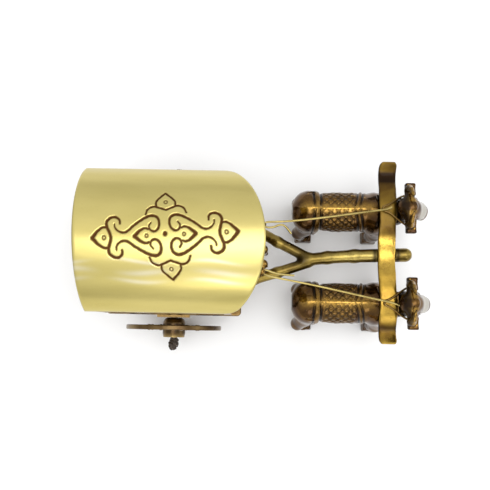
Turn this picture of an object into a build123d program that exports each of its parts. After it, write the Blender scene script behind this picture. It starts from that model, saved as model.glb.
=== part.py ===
from build123d import *
from math import asin, cos, pi, radians, sin, tan
import os

os.makedirs("parts", exist_ok=True)

# A brass bullock-cart ornament: hooded cart, two bullocks, yoke, reins and driver.
# Millimetres. +X is forward, +Y the cart's left, +Z up; the ground is z = 0.
# Pieces are drawn about the cart's middle line and moved sideways when they are saved,
# so that the origin lies on the ground below the middle of the whole group.

# wheels and axle; in a pair by side, 1 is the left and -1 the right
wheel_diameter = 71.5
rim_depth = 5.2
rim_width = 3.5
nave_diameter = 17.0
nave_length = {1: 10.8, -1: 14.6}
rim_setback = {1: 4.4, -1: 7.3}
spoke_count = 8
spoke_root_radius = 2.1
spoke_tip_radius = 1.4
spoke_bead_radius = 2.3
axle_x = -69.7
axle_diameter = 5.0
axle_running_fit = 0.08
side_play = 0.3
knob_length = {1: 6.4, -1: 9.6}
knob_waist_radius = 3.4
knob_belly_radius = 4.4
knob_tip_radius = 2.0
knob_cap = 3.0

# cart bed
body_width = 95.4
bed_margin = 0.6
bed_length = 101.0
bed_rear_x = -119.9
bed_thickness = 3.0
bed_corner = 3.0
axle_drop = 6.8

# axle brackets under the bed
bracket_inset = 16.7
bracket_proud = {1: 0.2, -1: 1.7}
bracket_top_length = 24.6
bracket_wall = 3.5
bracket_screw_inset = 11.7
bracket_screw_spread = 9.0

# side panels
panel_wall = 2.0
panel_length = 94.4
panel_height = 53.2
panel_foot = 7.0
panel_window_count = 3
panel_window_width = 21.0
panel_window_height = 36.0
panel_window_sill = 8.0
panel_seat_angle = 65.0
panel_lip_sweep = 8.0
panel_screw_count = 3

# hood
hood_sheet = 1.0
hood_edge_angle = 66.0
hood_overhang = 3.3
hood_visor = 21.8
hood_corner_radius = 7.0
hood_lean = -1.0
hood_skew = 2.8

# seat board and driver
seat_width = 34.0
seat_reach = 12.4
seat_lap = 15.0
seat_thickness = 2.5
driver_back = 13.0
driver_shift = -4.2
hand_spread = 17.0
hand_height = 22.0

# drawbar
arm_radius = 4.1
arm_spread = 24.2
arm_rear_length = 37.0
arm_flat = 0.5
crotch_x = 27.9
fork_offset = -5.0
pole_root_radius = 4.7
pole_tip_radius = 5.4
pole_end_x = 109.1
pole_end_round = 1.6

# yoke
yoke_x = 89.1
yoke_length = 136.0
yoke_shift = 1.6
yoke_width = 13.4
yoke_thickness = 4.0
yoke_arch_rise = 4.5
yoke_corner = 5.0
pole_seat_depth = 0.7
neck_gap = 0.3
neck_pin_radius = 1.5
neck_pin_bite = 2.2

# bullocks
bullock_spread = 34.8
bullock_shift = -2.3
bullock_rump_x = 19.4
body_radius = 15.5
shoulder_radius = 16.4
belly_height = 30.0
neck_radius = 9.5
skull_height = 66.0
# how far the left legs of both stand out, and the right legs of each
left_leg_stance = 11.0
right_leg_stance = {1: 13.0, -1: 15.5}
fore_leg_back = 4.4
hoof_radius = 4.6
hoof_height = 7.0
skull_reach = 15.4
skull_radius = 7.0
limb_waist = 0.96

# fasteners
bolt_radius = 1.5
bolt_head_radius = 2.7
bolt_head_height = 1.7
nut_flats = 5.4
nut_height = 2.2
small_screw_radius = 1.0
small_head_radius = 1.7
small_head_height = 1.1

# bridle and rein wire
wire_diameter = 1.5

# heights and places that follow from the above
wheel_radius = wheel_diameter / 2
axle_z = wheel_radius
bed_bottom = axle_z + axle_drop
bed_top = bed_bottom + bed_thickness
bed_front_x = bed_rear_x + bed_length
bed_half_width = body_width / 2 + bed_margin
panel_front_x = bed_front_x - (bed_length - panel_length)
both_sides = (1, -1)
bracket_inner_y = body_width / 2 - bracket_inset
bracket_screw_y = body_width / 2 - bracket_screw_inset
bracket_outer_y = {side: bed_half_width + bracket_proud[side] for side in both_sides}
nave_inner_y = {side: bracket_outer_y[side] + side_play for side in both_sides}
wheel_plane_y = {side: nave_inner_y[side] + rim_setback[side] for side in both_sides}
nave_outer_y = {side: nave_inner_y[side] + nave_length[side] for side in both_sides}
knob_start_y = {side: nave_outer_y[side] + side_play for side in both_sides}
knob_tip_y = {side: knob_start_y[side] + knob_length[side] for side in both_sides}
half_yoke = yoke_length / 2
left_reach = max(knob_tip_y[1], half_yoke + yoke_shift)
right_reach = max(knob_tip_y[-1], half_yoke - yoke_shift)
group_middle_y = (left_reach - right_reach) / 2
hood_inner_radius = body_width / 2 / sin(radians(panel_seat_angle))
hood_outer_radius = hood_inner_radius + hood_sheet
hood_axis_z = bed_top + panel_height - hood_inner_radius * cos(radians(panel_seat_angle))
hood_rear_x = bed_rear_x - hood_overhang
neck_top = 2 * neck_radius + 36.0
yoke_top = neck_top + neck_gap + yoke_thickness - yoke_arch_rise
yoke_bottom = yoke_top - yoke_thickness
pole_seat_z = yoke_bottom + pole_seat_depth - pole_tip_radius
arm_z = bed_bottom + arm_flat - arm_radius
seat_top = bed_top + seat_thickness


def save(part, name):
    """Move a finished piece to the group's middle, label it and write it under its name."""
    placed = part.moved(Location((0, -group_middle_y, 0)))
    placed.label = name
    export_step(placed, f"parts/{name}.step")


def around_hood(radius, angle):
    """A point of the hood's cross-section; the angle runs from the crown to the left."""
    return (radius * sin(angle), hood_axis_z + radius * cos(angle))


def limb(points, radii):
    """Add a rounded limb to the open part: balls at the points, cones between them."""
    for point, radius in zip(points, radii):
        with Locations(point):
            Sphere(radius)
    for index in range(len(points) - 1):
        start = Vector(*points[index])
        along = Vector(*points[index + 1]) - start
        # a little slimmer than the balls, so that the surfaces cross and never graze
        first, last = limb_waist * radii[index], limb_waist * radii[index + 1]
        with Locations(Plane(origin=start, z_dir=along)):
            if abs(first - last) < 0.001:
                Cylinder(first, along.length, align=(Align.CENTER, Align.CENTER, Align.MIN))
            else:
                Cone(first, last, along.length,
                     align=(Align.CENTER, Align.CENTER, Align.MIN))


def wire_path(points, label):
    """Straight runs joined by arcs as large as their runs allow; prints the radii."""
    spots = [Vector(*point) for point in points]
    corner_radii = []
    for before, corner, after in zip(spots, spots[1:], spots[2:]):
        turn = radians((corner - before).get_angle(after - corner))
        shorter = min((corner - before).length, (after - corner).length)
        corner_radii.append(0.45 * shorter / tan(turn / 2))
    print(label, "bend radii", [round(radius, 1) for radius in corner_radii])
    return FilletPolyline(*points, radius=corner_radii)


def wire(points, label):
    """A round wire along a route, as one solid; prints its volume against its length."""
    with BuildPart() as made:
        with BuildLine() as route:
            wire_path(points, label)
        path = route.wire()
        with BuildSketch(Plane(origin=path @ 0, z_dir=path % 0)) as section_sketch:
            Circle(wire_diameter / 2)
        sweep(section_sketch.sketch, path=path)
    length = path.length
    section = pi * wire_diameter ** 2 / 4
    print(label, "length", round(length, 1), "volume over section x length",
          round(made.part.volume / (section * length), 4))
    return made.part


# wheels: rim, turned spokes and a barrel nave bored for the axle
for side, name in ((1, "left"), (-1, "right")):
    centre = (axle_x, side * wheel_plane_y[side], axle_z)
    wheel_face = Plane(origin=centre, x_dir=(1, 0, 0), z_dir=(0, side, 0))
    radial_section = Plane(origin=centre, x_dir=(1, 0, 0), z_dir=(0, 0, side))
    rim_inner = wheel_radius - rim_depth
    nave_radius = nave_diameter / 2
    spoke_start = nave_radius - 1.2
    spoke_length = rim_inner + 0.8 - spoke_start
    with BuildPart(wheel_face) as wheel:
        with BuildSketch(radial_section):
            with Locations((rim_inner + rim_depth / 2, 0)):
                RectangleRounded(rim_depth, rim_width, 0.8)
        revolve(axis=Axis(centre, (0, 1, 0)))
        with BuildSketch(radial_section):
            with BuildLine():
                # measured from the rim's middle, away from the cart
                inner = -rim_setback[side]
                outer = inner + nave_length[side]
                Polyline((0, inner), (nave_radius - 3, inner))
                ThreePointArc((nave_radius - 3, inner), (nave_radius - 0.9, inner + 1.6),
                              (nave_radius, inner + 4.5))
                Polyline((nave_radius, inner + 4.5), (nave_radius, outer - 3),
                         (nave_radius - 0.6, outer), (0, outer), (0, inner))
            make_face()
        revolve(axis=Axis(centre, (0, 1, 0)))
        with PolarLocations(spoke_start + spoke_length / 2, spoke_count,
                            start_angle=180 / spoke_count):
            Cone(spoke_root_radius, spoke_tip_radius, spoke_length, rotation=(0, 90, 0))
            Sphere(spoke_bead_radius, rotation=(0, 90, 0))
        Hole(axle_diameter / 2 + axle_running_fit)
    save(wheel.part, f"{name}_wheel")

# axle: one rod through both brackets, its threaded ends inside the knobs
axle_end_y = {side: knob_tip_y[side] - knob_cap for side in both_sides}
with BuildPart() as axle_rod:
    with BuildSketch(Plane(origin=(axle_x, -axle_end_y[-1], axle_z), z_dir=(0, 1, 0))):
        Circle(axle_diameter / 2)
    extrude(amount=axle_end_y[1] + axle_end_y[-1])
    chamfer(axle_rod.edges().filter_by(GeomType.CIRCLE), 0.5)
save(axle_rod.part, "axle_rod")

# rough knobs that keep the wheels on
for side, name in ((1, "left"), (-1, "right")):
    start = (axle_x, side * knob_start_y[side], axle_z)
    length = knob_length[side]
    with BuildPart() as knob:
        with BuildSketch(Plane(origin=start, x_dir=(1, 0, 0), z_dir=(0, 0, side))):
            with BuildLine():
                Polyline((0, 0), (knob_waist_radius, 0), (knob_waist_radius + 0.2, 0.23 * length),
                         (knob_belly_radius, 0.46 * length),
                         (knob_belly_radius - 0.7, 0.67 * length),
                         (knob_tip_radius, length), (0, length), (0, 0))
            make_face()
        revolve(axis=Axis(start, (0, 1, 0)))
        with BuildSketch(Plane(origin=start, z_dir=(0, side, 0))):
            Circle(axle_diameter / 2)
        extrude(amount=length - knob_cap, mode=Mode.SUBTRACT)
    save(knob.part, f"{name}_axle_knob")

# shared positions of the fasteners
bracket_spots = [(axle_x + step * bracket_screw_spread, side * bracket_screw_y)
                 for step in (-1, 1) for side in (-1, 1)]
panel_screw_step = (panel_length - 12.0) / (panel_screw_count - 1)
panel_screw_y = body_width / 2 - panel_wall - (panel_foot - panel_wall) / 2
panel_spots = [(bed_rear_x + 6.0 + index * panel_screw_step, side * panel_screw_y)
               for index in range(panel_screw_count) for side in (-1, 1)]
drawbar_spots = [(bed_front_x - back, side * arm_spread)
                 for back in (9.0, 29.0) for side in (-1, 1)]
seat_spots = [(bed_front_x - seat_lap / 2, side * 9.0) for side in (-1, 1)]
driver_spot = (bed_front_x + 3.0, driver_shift)

# bed: one flat plate, bored for every fastener that passes through it
with BuildPart() as bed_plate:
    with BuildSketch(Plane.XY.offset(bed_bottom)):
        with Locations((bed_rear_x + bed_length / 2, 0)):
            RectangleRounded(bed_length, 2 * bed_half_width, bed_corner)
        with Locations(*drawbar_spots):
            Circle(bolt_radius, mode=Mode.SUBTRACT)
        with Locations(*bracket_spots):
            Circle(bolt_radius, mode=Mode.SUBTRACT)
        with Locations(*panel_spots, *seat_spots):
            Circle(small_screw_radius, mode=Mode.SUBTRACT)
    extrude(amount=bed_thickness)
    chamfer(bed_plate.faces().sort_by(Axis.Z)[-1].outer_wire().edges(), 0.6)
save(bed_plate.part, "bed_plate")

# axle brackets: a boss that hugs the axle and stands a little proud of the bed's edge
for side, name in ((1, "left"), (-1, "right")):
    boss_radius = axle_diameter / 2 + bracket_wall
    inner_face = Plane(origin=(axle_x, side * bracket_inner_y, axle_z), x_dir=(1, 0, 0),
                       z_dir=(0, side, 0))
    with BuildPart() as bracket:
        with BuildSketch(inner_face):
            with BuildLine():
                up = -side * axle_drop
                half = bracket_top_length / 2
                low = side * boss_radius * 0.2
                Polyline((-half, up), (-boss_radius, low), (boss_radius, low), (half, up),
                         (-half, up))
            make_face()
            Circle(boss_radius)
        extrude(amount=bracket_outer_y[side] - bracket_inner_y)
        with BuildSketch(inner_face):
            Circle(axle_diameter / 2)
        extrude(amount=bracket_outer_y[side] - bracket_inner_y, mode=Mode.SUBTRACT)
        with BuildSketch(Plane.XY.offset(bed_bottom)):
            with Locations(*[spot for spot in bracket_spots if spot[1] * side > 0]):
                Circle(bolt_radius)
        extrude(amount=-axle_drop, mode=Mode.SUBTRACT)
    save(bracket.part, f"{name}_axle_bracket")


def screws(spots, base_z, shank_radius, head_radius, head_height, shank_length):
    """Round-headed screws standing on a surface, their shanks pointing down."""
    with BuildPart() as group:
        with Locations(*[(x, y, base_z) for x, y in spots]):
            Cylinder(head_radius, head_height, align=(Align.CENTER, Align.CENTER, Align.MIN))
            Cylinder(shank_radius, shank_length,
                     align=(Align.CENTER, Align.CENTER, Align.MAX))
        fillet(group.edges().group_by(Axis.Z)[-1], head_height * 0.6)
    return group.part


save(screws(bracket_spots, bed_top, bolt_radius, bolt_head_radius, bolt_head_height,
            bed_thickness + axle_drop * 0.8), "bracket_screws")
save(screws(panel_spots, bed_top + panel_wall, small_screw_radius, small_head_radius,
            small_head_height, panel_wall + bed_thickness), "panel_screws")
save(screws(seat_spots, seat_top, small_screw_radius, small_head_radius,
            small_head_height, seat_thickness + bed_thickness), "seat_screws")

# side panels: a foot on the bed, a wall with arched windows and a lip that fits the hood
for side, name in ((1, "left"), (-1, "right")):
    with BuildPart() as panel:
        wall_y = body_width / 2
        inner_y = wall_y - panel_wall
        lip_radius = hood_inner_radius - panel_wall
        seat = side * radians(panel_seat_angle)
        lip_end = side * radians(panel_seat_angle - panel_lip_sweep)
        inner_seat = side * asin(inner_y / lip_radius)

        with BuildSketch(Plane.YZ.offset(bed_rear_x)):
            with BuildLine():
                Polyline((side * inner_y, bed_top + panel_wall),
                         (side * (wall_y - panel_foot), bed_top + panel_wall),
                         (side * (wall_y - panel_foot), bed_top), (side * wall_y, bed_top),
                         around_hood(hood_inner_radius, seat))
                ThreePointArc(around_hood(hood_inner_radius, seat),
                              around_hood(hood_inner_radius, (seat + lip_end) / 2),
                              around_hood(hood_inner_radius, lip_end))
                Line(around_hood(hood_inner_radius, lip_end), around_hood(lip_radius, lip_end))
                ThreePointArc(around_hood(lip_radius, lip_end),
                              around_hood(lip_radius, (inner_seat + lip_end) / 2),
                              around_hood(lip_radius, inner_seat))
                Line(around_hood(lip_radius, inner_seat), (side * inner_y, bed_top + panel_wall))
            make_face()
        extrude(amount=panel_length)
        bay = panel_length / panel_window_count
        window_face = Plane(origin=(bed_rear_x, side * (wall_y + 1), bed_top),
                            x_dir=(1, 0, 0), z_dir=(0, -1, 0))
        straight = panel_window_height - panel_window_width / 2
        with BuildSketch(window_face):
            for index in range(panel_window_count):
                middle = bay * (index + 0.5)
                with Locations((middle, panel_window_sill + straight / 2)):
                    Rectangle(panel_window_width, straight)
                with Locations((middle, panel_window_sill + straight)):
                    Circle(panel_window_width / 2)
        extrude(amount=side * (panel_wall + 2), mode=Mode.SUBTRACT)
        with BuildSketch(Plane.XY.offset(bed_top)):
            with Locations(*[spot for spot in panel_spots if spot[1] * side > 0]):
                Circle(small_screw_radius)
        extrude(amount=panel_wall, mode=Mode.SUBTRACT)
    save(panel.part, f"{name}_side_panel")

# hood: a sheet bent to an arc, its front edge raked forward into a visor
with BuildPart() as hood:
    hood_length = panel_front_x - hood_rear_x
    left_edge = radians(hood_edge_angle - hood_lean)
    right_edge = radians(-hood_edge_angle - hood_lean)
    skew_reach = hood_outer_radius * tan(radians(hood_skew))
    with BuildSketch(Plane.YZ.offset(hood_rear_x - skew_reach)):
        with BuildLine():
            ThreePointArc(around_hood(hood_outer_radius, right_edge),
                          (0, hood_axis_z + hood_outer_radius),
                          around_hood(hood_outer_radius, left_edge))
            Line(around_hood(hood_outer_radius, left_edge),
                 around_hood(hood_inner_radius, left_edge))
            ThreePointArc(around_hood(hood_inner_radius, left_edge),
                          (0, hood_axis_z + hood_inner_radius),
                          around_hood(hood_inner_radius, right_edge))
            Line(around_hood(hood_inner_radius, right_edge),
                 around_hood(hood_outer_radius, right_edge))
        make_face()
    extrude(amount=hood_length + hood_visor + 2 * skew_reach)
    # the raked front outline is cut through the leaning sheet, a little askew
    hood_apex = hood_outer_radius
    hood_edge_rise = hood_outer_radius * cos(radians(hood_edge_angle))
    hood_low = hood_inner_radius * cos(radians(hood_edge_angle)) - 0.05
    rake = hood_visor / (hood_apex - hood_edge_rise)
    leaning = Plane(origin=(0, 0, hood_axis_z), x_dir=(1, 0, 0),
                    z_dir=(0, -cos(radians(hood_lean)), -sin(radians(hood_lean))))
    with BuildSketch(leaning) as side_outline:
        with BuildLine():
            Polyline((hood_rear_x, hood_low),
                     (panel_front_x - rake * (hood_edge_rise - hood_low), hood_low),
                     (panel_front_x + hood_visor + rake * 5, hood_apex + 5),
                     (hood_rear_x, hood_apex + 5), (hood_rear_x, hood_low))
        make_face()
        low_corners = side_outline.vertices().group_by(Axis.Z)[0]
        fillet(low_corners.sort_by(Axis.X)[-1], hood_corner_radius)
    askew = (tan(radians(hood_skew)), -cos(radians(hood_lean)), -sin(radians(hood_lean)))
    extrude(amount=hood_outer_radius + 2, dir=askew, both=True, mode=Mode.INTERSECT)
save(hood.part, "hood")

# seat board: laps over the bed's front edge and carries the driver
seat_front_x = bed_front_x + seat_reach
with BuildPart() as seat_board:
    with BuildSketch(Plane.XY.offset(bed_top)):
        with Locations(((seat_front_x + bed_front_x - seat_lap) / 2, 0)):
            RectangleRounded(seat_reach + seat_lap, seat_width, 2.0)
        with Locations(*seat_spots, driver_spot):
            Circle(small_screw_radius, mode=Mode.SUBTRACT)
    extrude(amount=seat_thickness)
    chamfer(seat_board.faces().sort_by(Axis.Z)[-1].outer_wire().edges(), 0.5)
save(seat_board.part, "seat_board")

# drawbar: two round arms that meet in a fork and run on as one pole to the yoke
pole_rise = (pole_seat_z - arm_z) / (yoke_x - bed_front_x)


def pole_height(x):
    """Height of the pole's middle at a place along it, ahead of the bed."""
    return arm_z + (x - bed_front_x) * pole_rise


with BuildPart() as drawbar:
    for side in (-1, 1):
        with BuildLine() as arm:
            FilletPolyline((bed_front_x - arm_rear_length, side * arm_spread, arm_z),
                           (bed_front_x - 1.0, side * arm_spread, arm_z),
                           (crotch_x - 4.0, side * 2.6 + fork_offset,
                            pole_height(crotch_x - 4.0)),
                           radius=26)
        with BuildSketch(Plane(origin=arm.line @ 0, z_dir=arm.line % 0)):
            Circle(arm_radius)
        sweep(path=arm.line)
    fork_slew = -fork_offset / (yoke_x - crotch_x)
    pole_way = Vector(1, fork_slew, pole_rise)
    for x, radius in ((crotch_x - 8.0, pole_root_radius - 0.4),
                      (crotch_x + 10.0, pole_root_radius), (pole_end_x, pole_tip_radius)):
        place = (x, fork_offset + fork_slew * (x - crotch_x), pole_height(x))
        with BuildSketch(Plane(origin=place, z_dir=pole_way)):
            Circle(radius)
    loft(ruled=True)
    fillet(drawbar.faces().sort_by(Axis.X)[-1].edges(), pole_end_round)
    # flats: under the bed, under the yoke and for the nuts
    with Locations((bed_front_x - 25, 0, bed_bottom)):
        Box(50, 4 * arm_spread, 10, align=(Align.CENTER, Align.CENTER, Align.MIN),
            mode=Mode.SUBTRACT)
    with Locations((yoke_x, 0, yoke_bottom)):
        Box(yoke_width + 0.4, 4 * pole_tip_radius, 10,
            align=(Align.CENTER, Align.CENTER, Align.MIN), mode=Mode.SUBTRACT)
    nut_seat = arm_z - arm_radius + 1.0
    with Locations(*[(x, y, nut_seat) for x, y in drawbar_spots]):
        Cylinder(nut_flats * 0.75, 10, align=(Align.CENTER, Align.CENTER, Align.MAX),
                 mode=Mode.SUBTRACT)
        Cylinder(bolt_radius, 30, mode=Mode.SUBTRACT)
    with Locations((yoke_x, 0, yoke_bottom)):
        Cylinder(bolt_radius, 30, mode=Mode.SUBTRACT)
    yoke_screw_seat = pole_height(yoke_x) - pole_tip_radius + 1.2
    with Locations((yoke_x, 0, yoke_screw_seat)):
        Cylinder(bolt_head_radius + 0.3, 10, align=(Align.CENTER, Align.CENTER, Align.MAX),
                 mode=Mode.SUBTRACT)
save(drawbar.part, "drawbar")

# bolts down through bed and arms, and their nuts below
bolt_reach = bed_top - nut_seat + nut_height + 0.6
save(screws(drawbar_spots, bed_top, bolt_radius, bolt_head_radius, bolt_head_height,
            bolt_reach), "drawbar_bolts")
with BuildPart() as drawbar_nuts:
    with BuildSketch(Plane.XY.offset(nut_seat)):
        with Locations(*drawbar_spots):
            RegularPolygon(nut_flats / 2, 6, major_radius=False)
            Circle(bolt_radius, mode=Mode.SUBTRACT)
    extrude(amount=-nut_height)
save(drawbar_nuts.part, "drawbar_nuts")

# yoke: a flat bar in waves, arched over each neck, its ends curled up
arch_end = bullock_spread + 19.0
with BuildPart() as yoke:
    with BuildSketch(Plane.YZ.offset(yoke_x - yoke_width / 2)):
        crest = [(0, yoke_top), (8.5, yoke_top), (19.0, yoke_top + 0.6 * yoke_arch_rise),
                 (bullock_spread, yoke_top + yoke_arch_rise),
                 (arch_end - 7, yoke_top + 0.55 * yoke_arch_rise),
                 (arch_end + 1, yoke_top - 0.6), (half_yoke - 6.5, yoke_top - 1.2),
                 (half_yoke, yoke_top + 2.6)]
        top_line = [(-y, z) for y, z in reversed(crest[1:])] + crest
        top_line = [(y + yoke_shift, z) for y, z in top_line]
        with BuildLine():
            over = Spline(*top_line)
            under = Spline(*[(y, z - yoke_thickness) for y, z in top_line])
            Line(over @ 0, under @ 0)
            Line(over @ 1, under @ 1)
        make_face()
    extrude(amount=yoke_width)
    ends = yoke.edges().filter_by(Axis.Z)
    fillet(ends, yoke_corner)
    with Locations((yoke_x, 0, yoke_bottom)):
        Cylinder(bolt_radius, 2 * yoke_thickness * 0.6, mode=Mode.SUBTRACT)
    with Locations(*[(yoke_x, side * bullock_spread + bullock_shift, neck_top)
                     for side in (-1, 1)]):
        Cylinder(neck_pin_radius, 2 * (neck_gap + neck_pin_bite), mode=Mode.SUBTRACT)
save(yoke.part, "yoke")

# screw up through the pole into the yoke
with BuildPart() as yoke_screw:
    with Locations((yoke_x, 0, yoke_screw_seat)):
        Cylinder(bolt_head_radius, bolt_head_height,
                 align=(Align.CENTER, Align.CENTER, Align.MAX))
        Cylinder(bolt_radius, yoke_bottom - yoke_screw_seat + yoke_thickness * 0.6,
                 align=(Align.CENTER, Align.CENTER, Align.MIN))
save(yoke_screw.part, "yoke_screw")

# pins that hold the yoke on the bullocks' necks
with BuildPart() as neck_pins:
    with Locations(*[(yoke_x, side * bullock_spread + bullock_shift, neck_top + neck_gap / 2)
                     for side in (-1, 1)]):
        Cylinder(neck_pin_radius, neck_gap + 2 * neck_pin_bite)
save(neck_pins.part, "neck_pins")

# bullocks: cast figures, plain here, each one solid standing on four hooves
spine = belly_height + body_radius
neck_x = yoke_x
skull_x = yoke_x + skull_reach
for side, name in ((1, "left"), (-1, "right")):
    middle = side * bullock_spread + bullock_shift
    rear_x = bullock_rump_x + 13.6
    fore_x = rear_x + 39.0
    with BuildPart() as bullock:
        trunk = Plane(origin=(bullock_rump_x, middle, spine), x_dir=(1, 0, 0), z_dir=(0, -1, 0))
        chest_x = fore_x + 14.0 - bullock_rump_x
        with BuildSketch(trunk):
            with BuildLine():
                Spline((0, 0), (3.5, 10.0), (14, body_radius - 0.6), (30, body_radius),
                       (fore_x - 2 - bullock_rump_x, shoulder_radius),
                       (chest_x - 6, shoulder_radius - 4.5), (chest_x, 0))
                Line((chest_x, 0), (0, 0))
            make_face()
        revolve(axis=Axis((0, middle, spine), (1, 0, 0)))
        limb([(fore_x + 3, middle, spine - 1), (neck_x, middle, neck_top - neck_radius),
              (neck_x + 9.0, middle, neck_top - 10.5), (neck_x + 11.6, middle, neck_top - 6),
              (skull_x, middle, skull_height)],
             [11.0, neck_radius, 7.0, 5.6, skull_radius])
        limb([(skull_x, middle, skull_height), (skull_x + 6.5, middle, skull_height - 8),
              (skull_x + 13.6, middle, skull_height - 17)], [skull_radius, 6.6, 5.0])
        for out in (-1, 1):
            stance = left_leg_stance if out > 0 else right_leg_stance[side]
            hind = (rear_x - 3.5, middle + out * stance, 0)
            fore = (yoke_x - fore_leg_back, middle + out * stance, 0)
            limb([(hind[0] + 3, middle + out * 7, spine - 8), (hind[0] - 1, hind[1], 17),
                  (hind[0] + 1, hind[1], hoof_height)], [8.5, 4.2, 3.9])
            limb([(fore[0], middle + out * 8, spine - 10), (fore[0] + 1.5, fore[1], 18),
                  (fore[0], fore[1], hoof_height)], [8.0, 4.2, 3.9])
            for foot in (hind, fore):
                with Locations(foot):
                    Cone(hoof_radius, hoof_radius - 0.9, hoof_height,
                         align=(Align.CENTER, Align.CENTER, Align.MIN))
            limb([(skull_x - 1.5, middle + out * 5, skull_height + 4),
                  (skull_x - 2.0, middle + out * 9.5, skull_height + 7.5),
                  (skull_x - 2.0, middle + out * 7, skull_height + 12.6)], [2.4, 1.8, 0.9])
            limb([(skull_x + 1.0, middle + out * 5, skull_height - 2),
                  (skull_x + 1.5, middle + out * 14.2, skull_height - 2.5)], [2.7, 2.9])
        with Locations((neck_x, middle, neck_top)):
            Cylinder(neck_pin_radius, 2 * neck_pin_bite, mode=Mode.SUBTRACT)
    save(bullock.part, f"{name}_bullock")

# driver: a seated cast figure, knees over the seat board's front edge
hand_x = seat_front_x + 1.0
hand_z = seat_top + hand_height
hip_x = seat_front_x - driver_back
with BuildPart() as driver:
    middle = driver_shift
    limb([(hip_x, middle, seat_top + 7), (hip_x - 1, middle, seat_top + 18),
          (hip_x - 1, middle, seat_top + 26)], [8.0, 6.8, 7.4])
    limb([(hip_x - 0.5, middle, seat_top + 31), (hip_x, middle, seat_top + 42)], [3.2, 6.6])
    for out in (-1, 1):
        limb([(hip_x - 1, middle + out * 7, seat_top + 28),
              (hip_x, middle + out * 13, seat_top + 19),
              (hand_x, out * hand_spread, hand_z)], [3.6, 3.0, 2.8])
        limb([(hip_x, middle + out * 5, seat_top + 4.6),
              (seat_front_x + 3.2, middle + out * 5.3, seat_top + 4.6),
              (seat_front_x + 3.6, middle + out * 4.7, seat_top - 11),
              (seat_front_x + 6.0, middle + out * 4.7, seat_top - 12)], [4.6, 4.0, 2.7, 2.3])
    with Locations((hip_x, 0, seat_top)):
        Box(40, 60, 20, align=(Align.MAX, Align.CENTER, Align.MAX), mode=Mode.SUBTRACT)
    with Locations((seat_front_x + 0.2, 0, seat_top)):
        Box(40, 60, 20, align=(Align.MAX, Align.CENTER, Align.MAX), mode=Mode.SUBTRACT)
    with Locations((*driver_spot, seat_top)):
        Cylinder(small_screw_radius, 10, mode=Mode.SUBTRACT)
save(driver.part, "driver")

# screw up through the seat board into the driver
with BuildPart() as driver_screw:
    with Locations((*driver_spot, bed_top)):
        Cylinder(small_head_radius, small_head_height,
                 align=(Align.CENTER, Align.CENTER, Align.MAX))
        Cylinder(small_screw_radius, seat_thickness + 5,
                 align=(Align.CENTER, Align.CENTER, Align.MIN))
save(driver_screw.part, "driver_screw")

# bridles: a wire loop from the top of the yoke round under each jaw
bridle_route = [(104.9, -12.0, 55.4), (109.6, -11.2, 51.4), (112.9, -8.0, 46.4),
                (113.8, -3.0, 42.8), (113.8, 3.0, 42.8), (112.9, 8.0, 46.4),
                (109.6, 11.2, 51.4), (104.9, 12.0, 55.4), (98.5, 9.8, 58.8),
                (92.9, 5.6, 61.4), (88.3, 2.5, 61.5), (84.9, 1.6, 61.2),
                (84.9, -1.6, 61.2), (88.3, -2.5, 61.5), (92.9, -5.6, 61.4),
                (98.5, -9.8, 59.4), (104.5, -12.8, 57.4)]
for side, name in ((1, "left"), (-1, "right")):
    route = [(x, side * (bullock_spread + y) + bullock_shift, z) for x, y, z in bridle_route]
    save(wire(route, f"{name}_bridle"), f"{name}_bridle")

# reins: taut wires from the bridles back to the driver's hands, with loose tails
left_rein_route = [(16.4, 11.0, 68.6), (12.5, 16.6, 69.4), (8.3, 17.6, 69.8),
                   (3.5, 15.2, 69.9), (-1.7, 15.0, 70.0), (-4.3, 17.0, 70.1),
                   (-1.9, 19.1, 70.4), (4.3, 19.2, 70.4), (16.4, 20.0, 70.1),
                   (35.9, 22.6, 69.4), (61.9, 26.9, 67.4), (76.9, 29.6, 65.4),
                   (83.9, 31.0, 63.8), (88.3, 31.8, 63.2), (90.5, 33.2, 63.4)]
right_rein_route = [(18.9, -19.0, 67.4), (9.9, -18.6, 68.4), (3.5, -17.4, 69.4),
                    (-1.5, -15.4, 70.0), (-4.5, -16.4, 70.1), (-2.7, -19.0, 70.4),
                    (3.7, -20.7, 70.5), (15.9, -22.8, 70.2), (35.9, -26.3, 69.2),
                    (61.9, -31.5, 67.2), (77.9, -34.6, 65.2), (86.9, -36.2, 63.6),
                    (92.5, -37.6, 63.2), (95.3, -38.6, 62.8)]
save(wire(left_rein_route, "left_rein"), "left_rein")
save(wire(right_rein_route, "right_rein"), "right_rein")
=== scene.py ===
import math

import bpy
import numpy as np
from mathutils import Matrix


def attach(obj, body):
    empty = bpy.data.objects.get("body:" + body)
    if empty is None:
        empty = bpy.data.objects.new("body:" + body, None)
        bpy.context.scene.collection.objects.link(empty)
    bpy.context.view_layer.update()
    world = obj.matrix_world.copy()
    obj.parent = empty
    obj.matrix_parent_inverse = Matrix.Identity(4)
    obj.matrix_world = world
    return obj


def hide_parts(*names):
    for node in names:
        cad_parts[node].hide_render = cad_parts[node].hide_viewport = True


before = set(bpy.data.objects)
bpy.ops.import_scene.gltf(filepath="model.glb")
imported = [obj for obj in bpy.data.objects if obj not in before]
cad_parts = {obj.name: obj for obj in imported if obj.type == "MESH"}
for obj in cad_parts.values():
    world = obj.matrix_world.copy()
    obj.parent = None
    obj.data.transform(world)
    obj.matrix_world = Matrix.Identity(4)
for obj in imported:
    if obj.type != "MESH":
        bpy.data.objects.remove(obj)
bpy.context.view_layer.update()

import openvdb
from mathutils import Matrix, Vector

mm = 0.001
sideShift = 2.6  # the cart's middle line stands this far left of the group's middle
print("cart: frame loaded,", len(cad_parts), "pieces")


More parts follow.
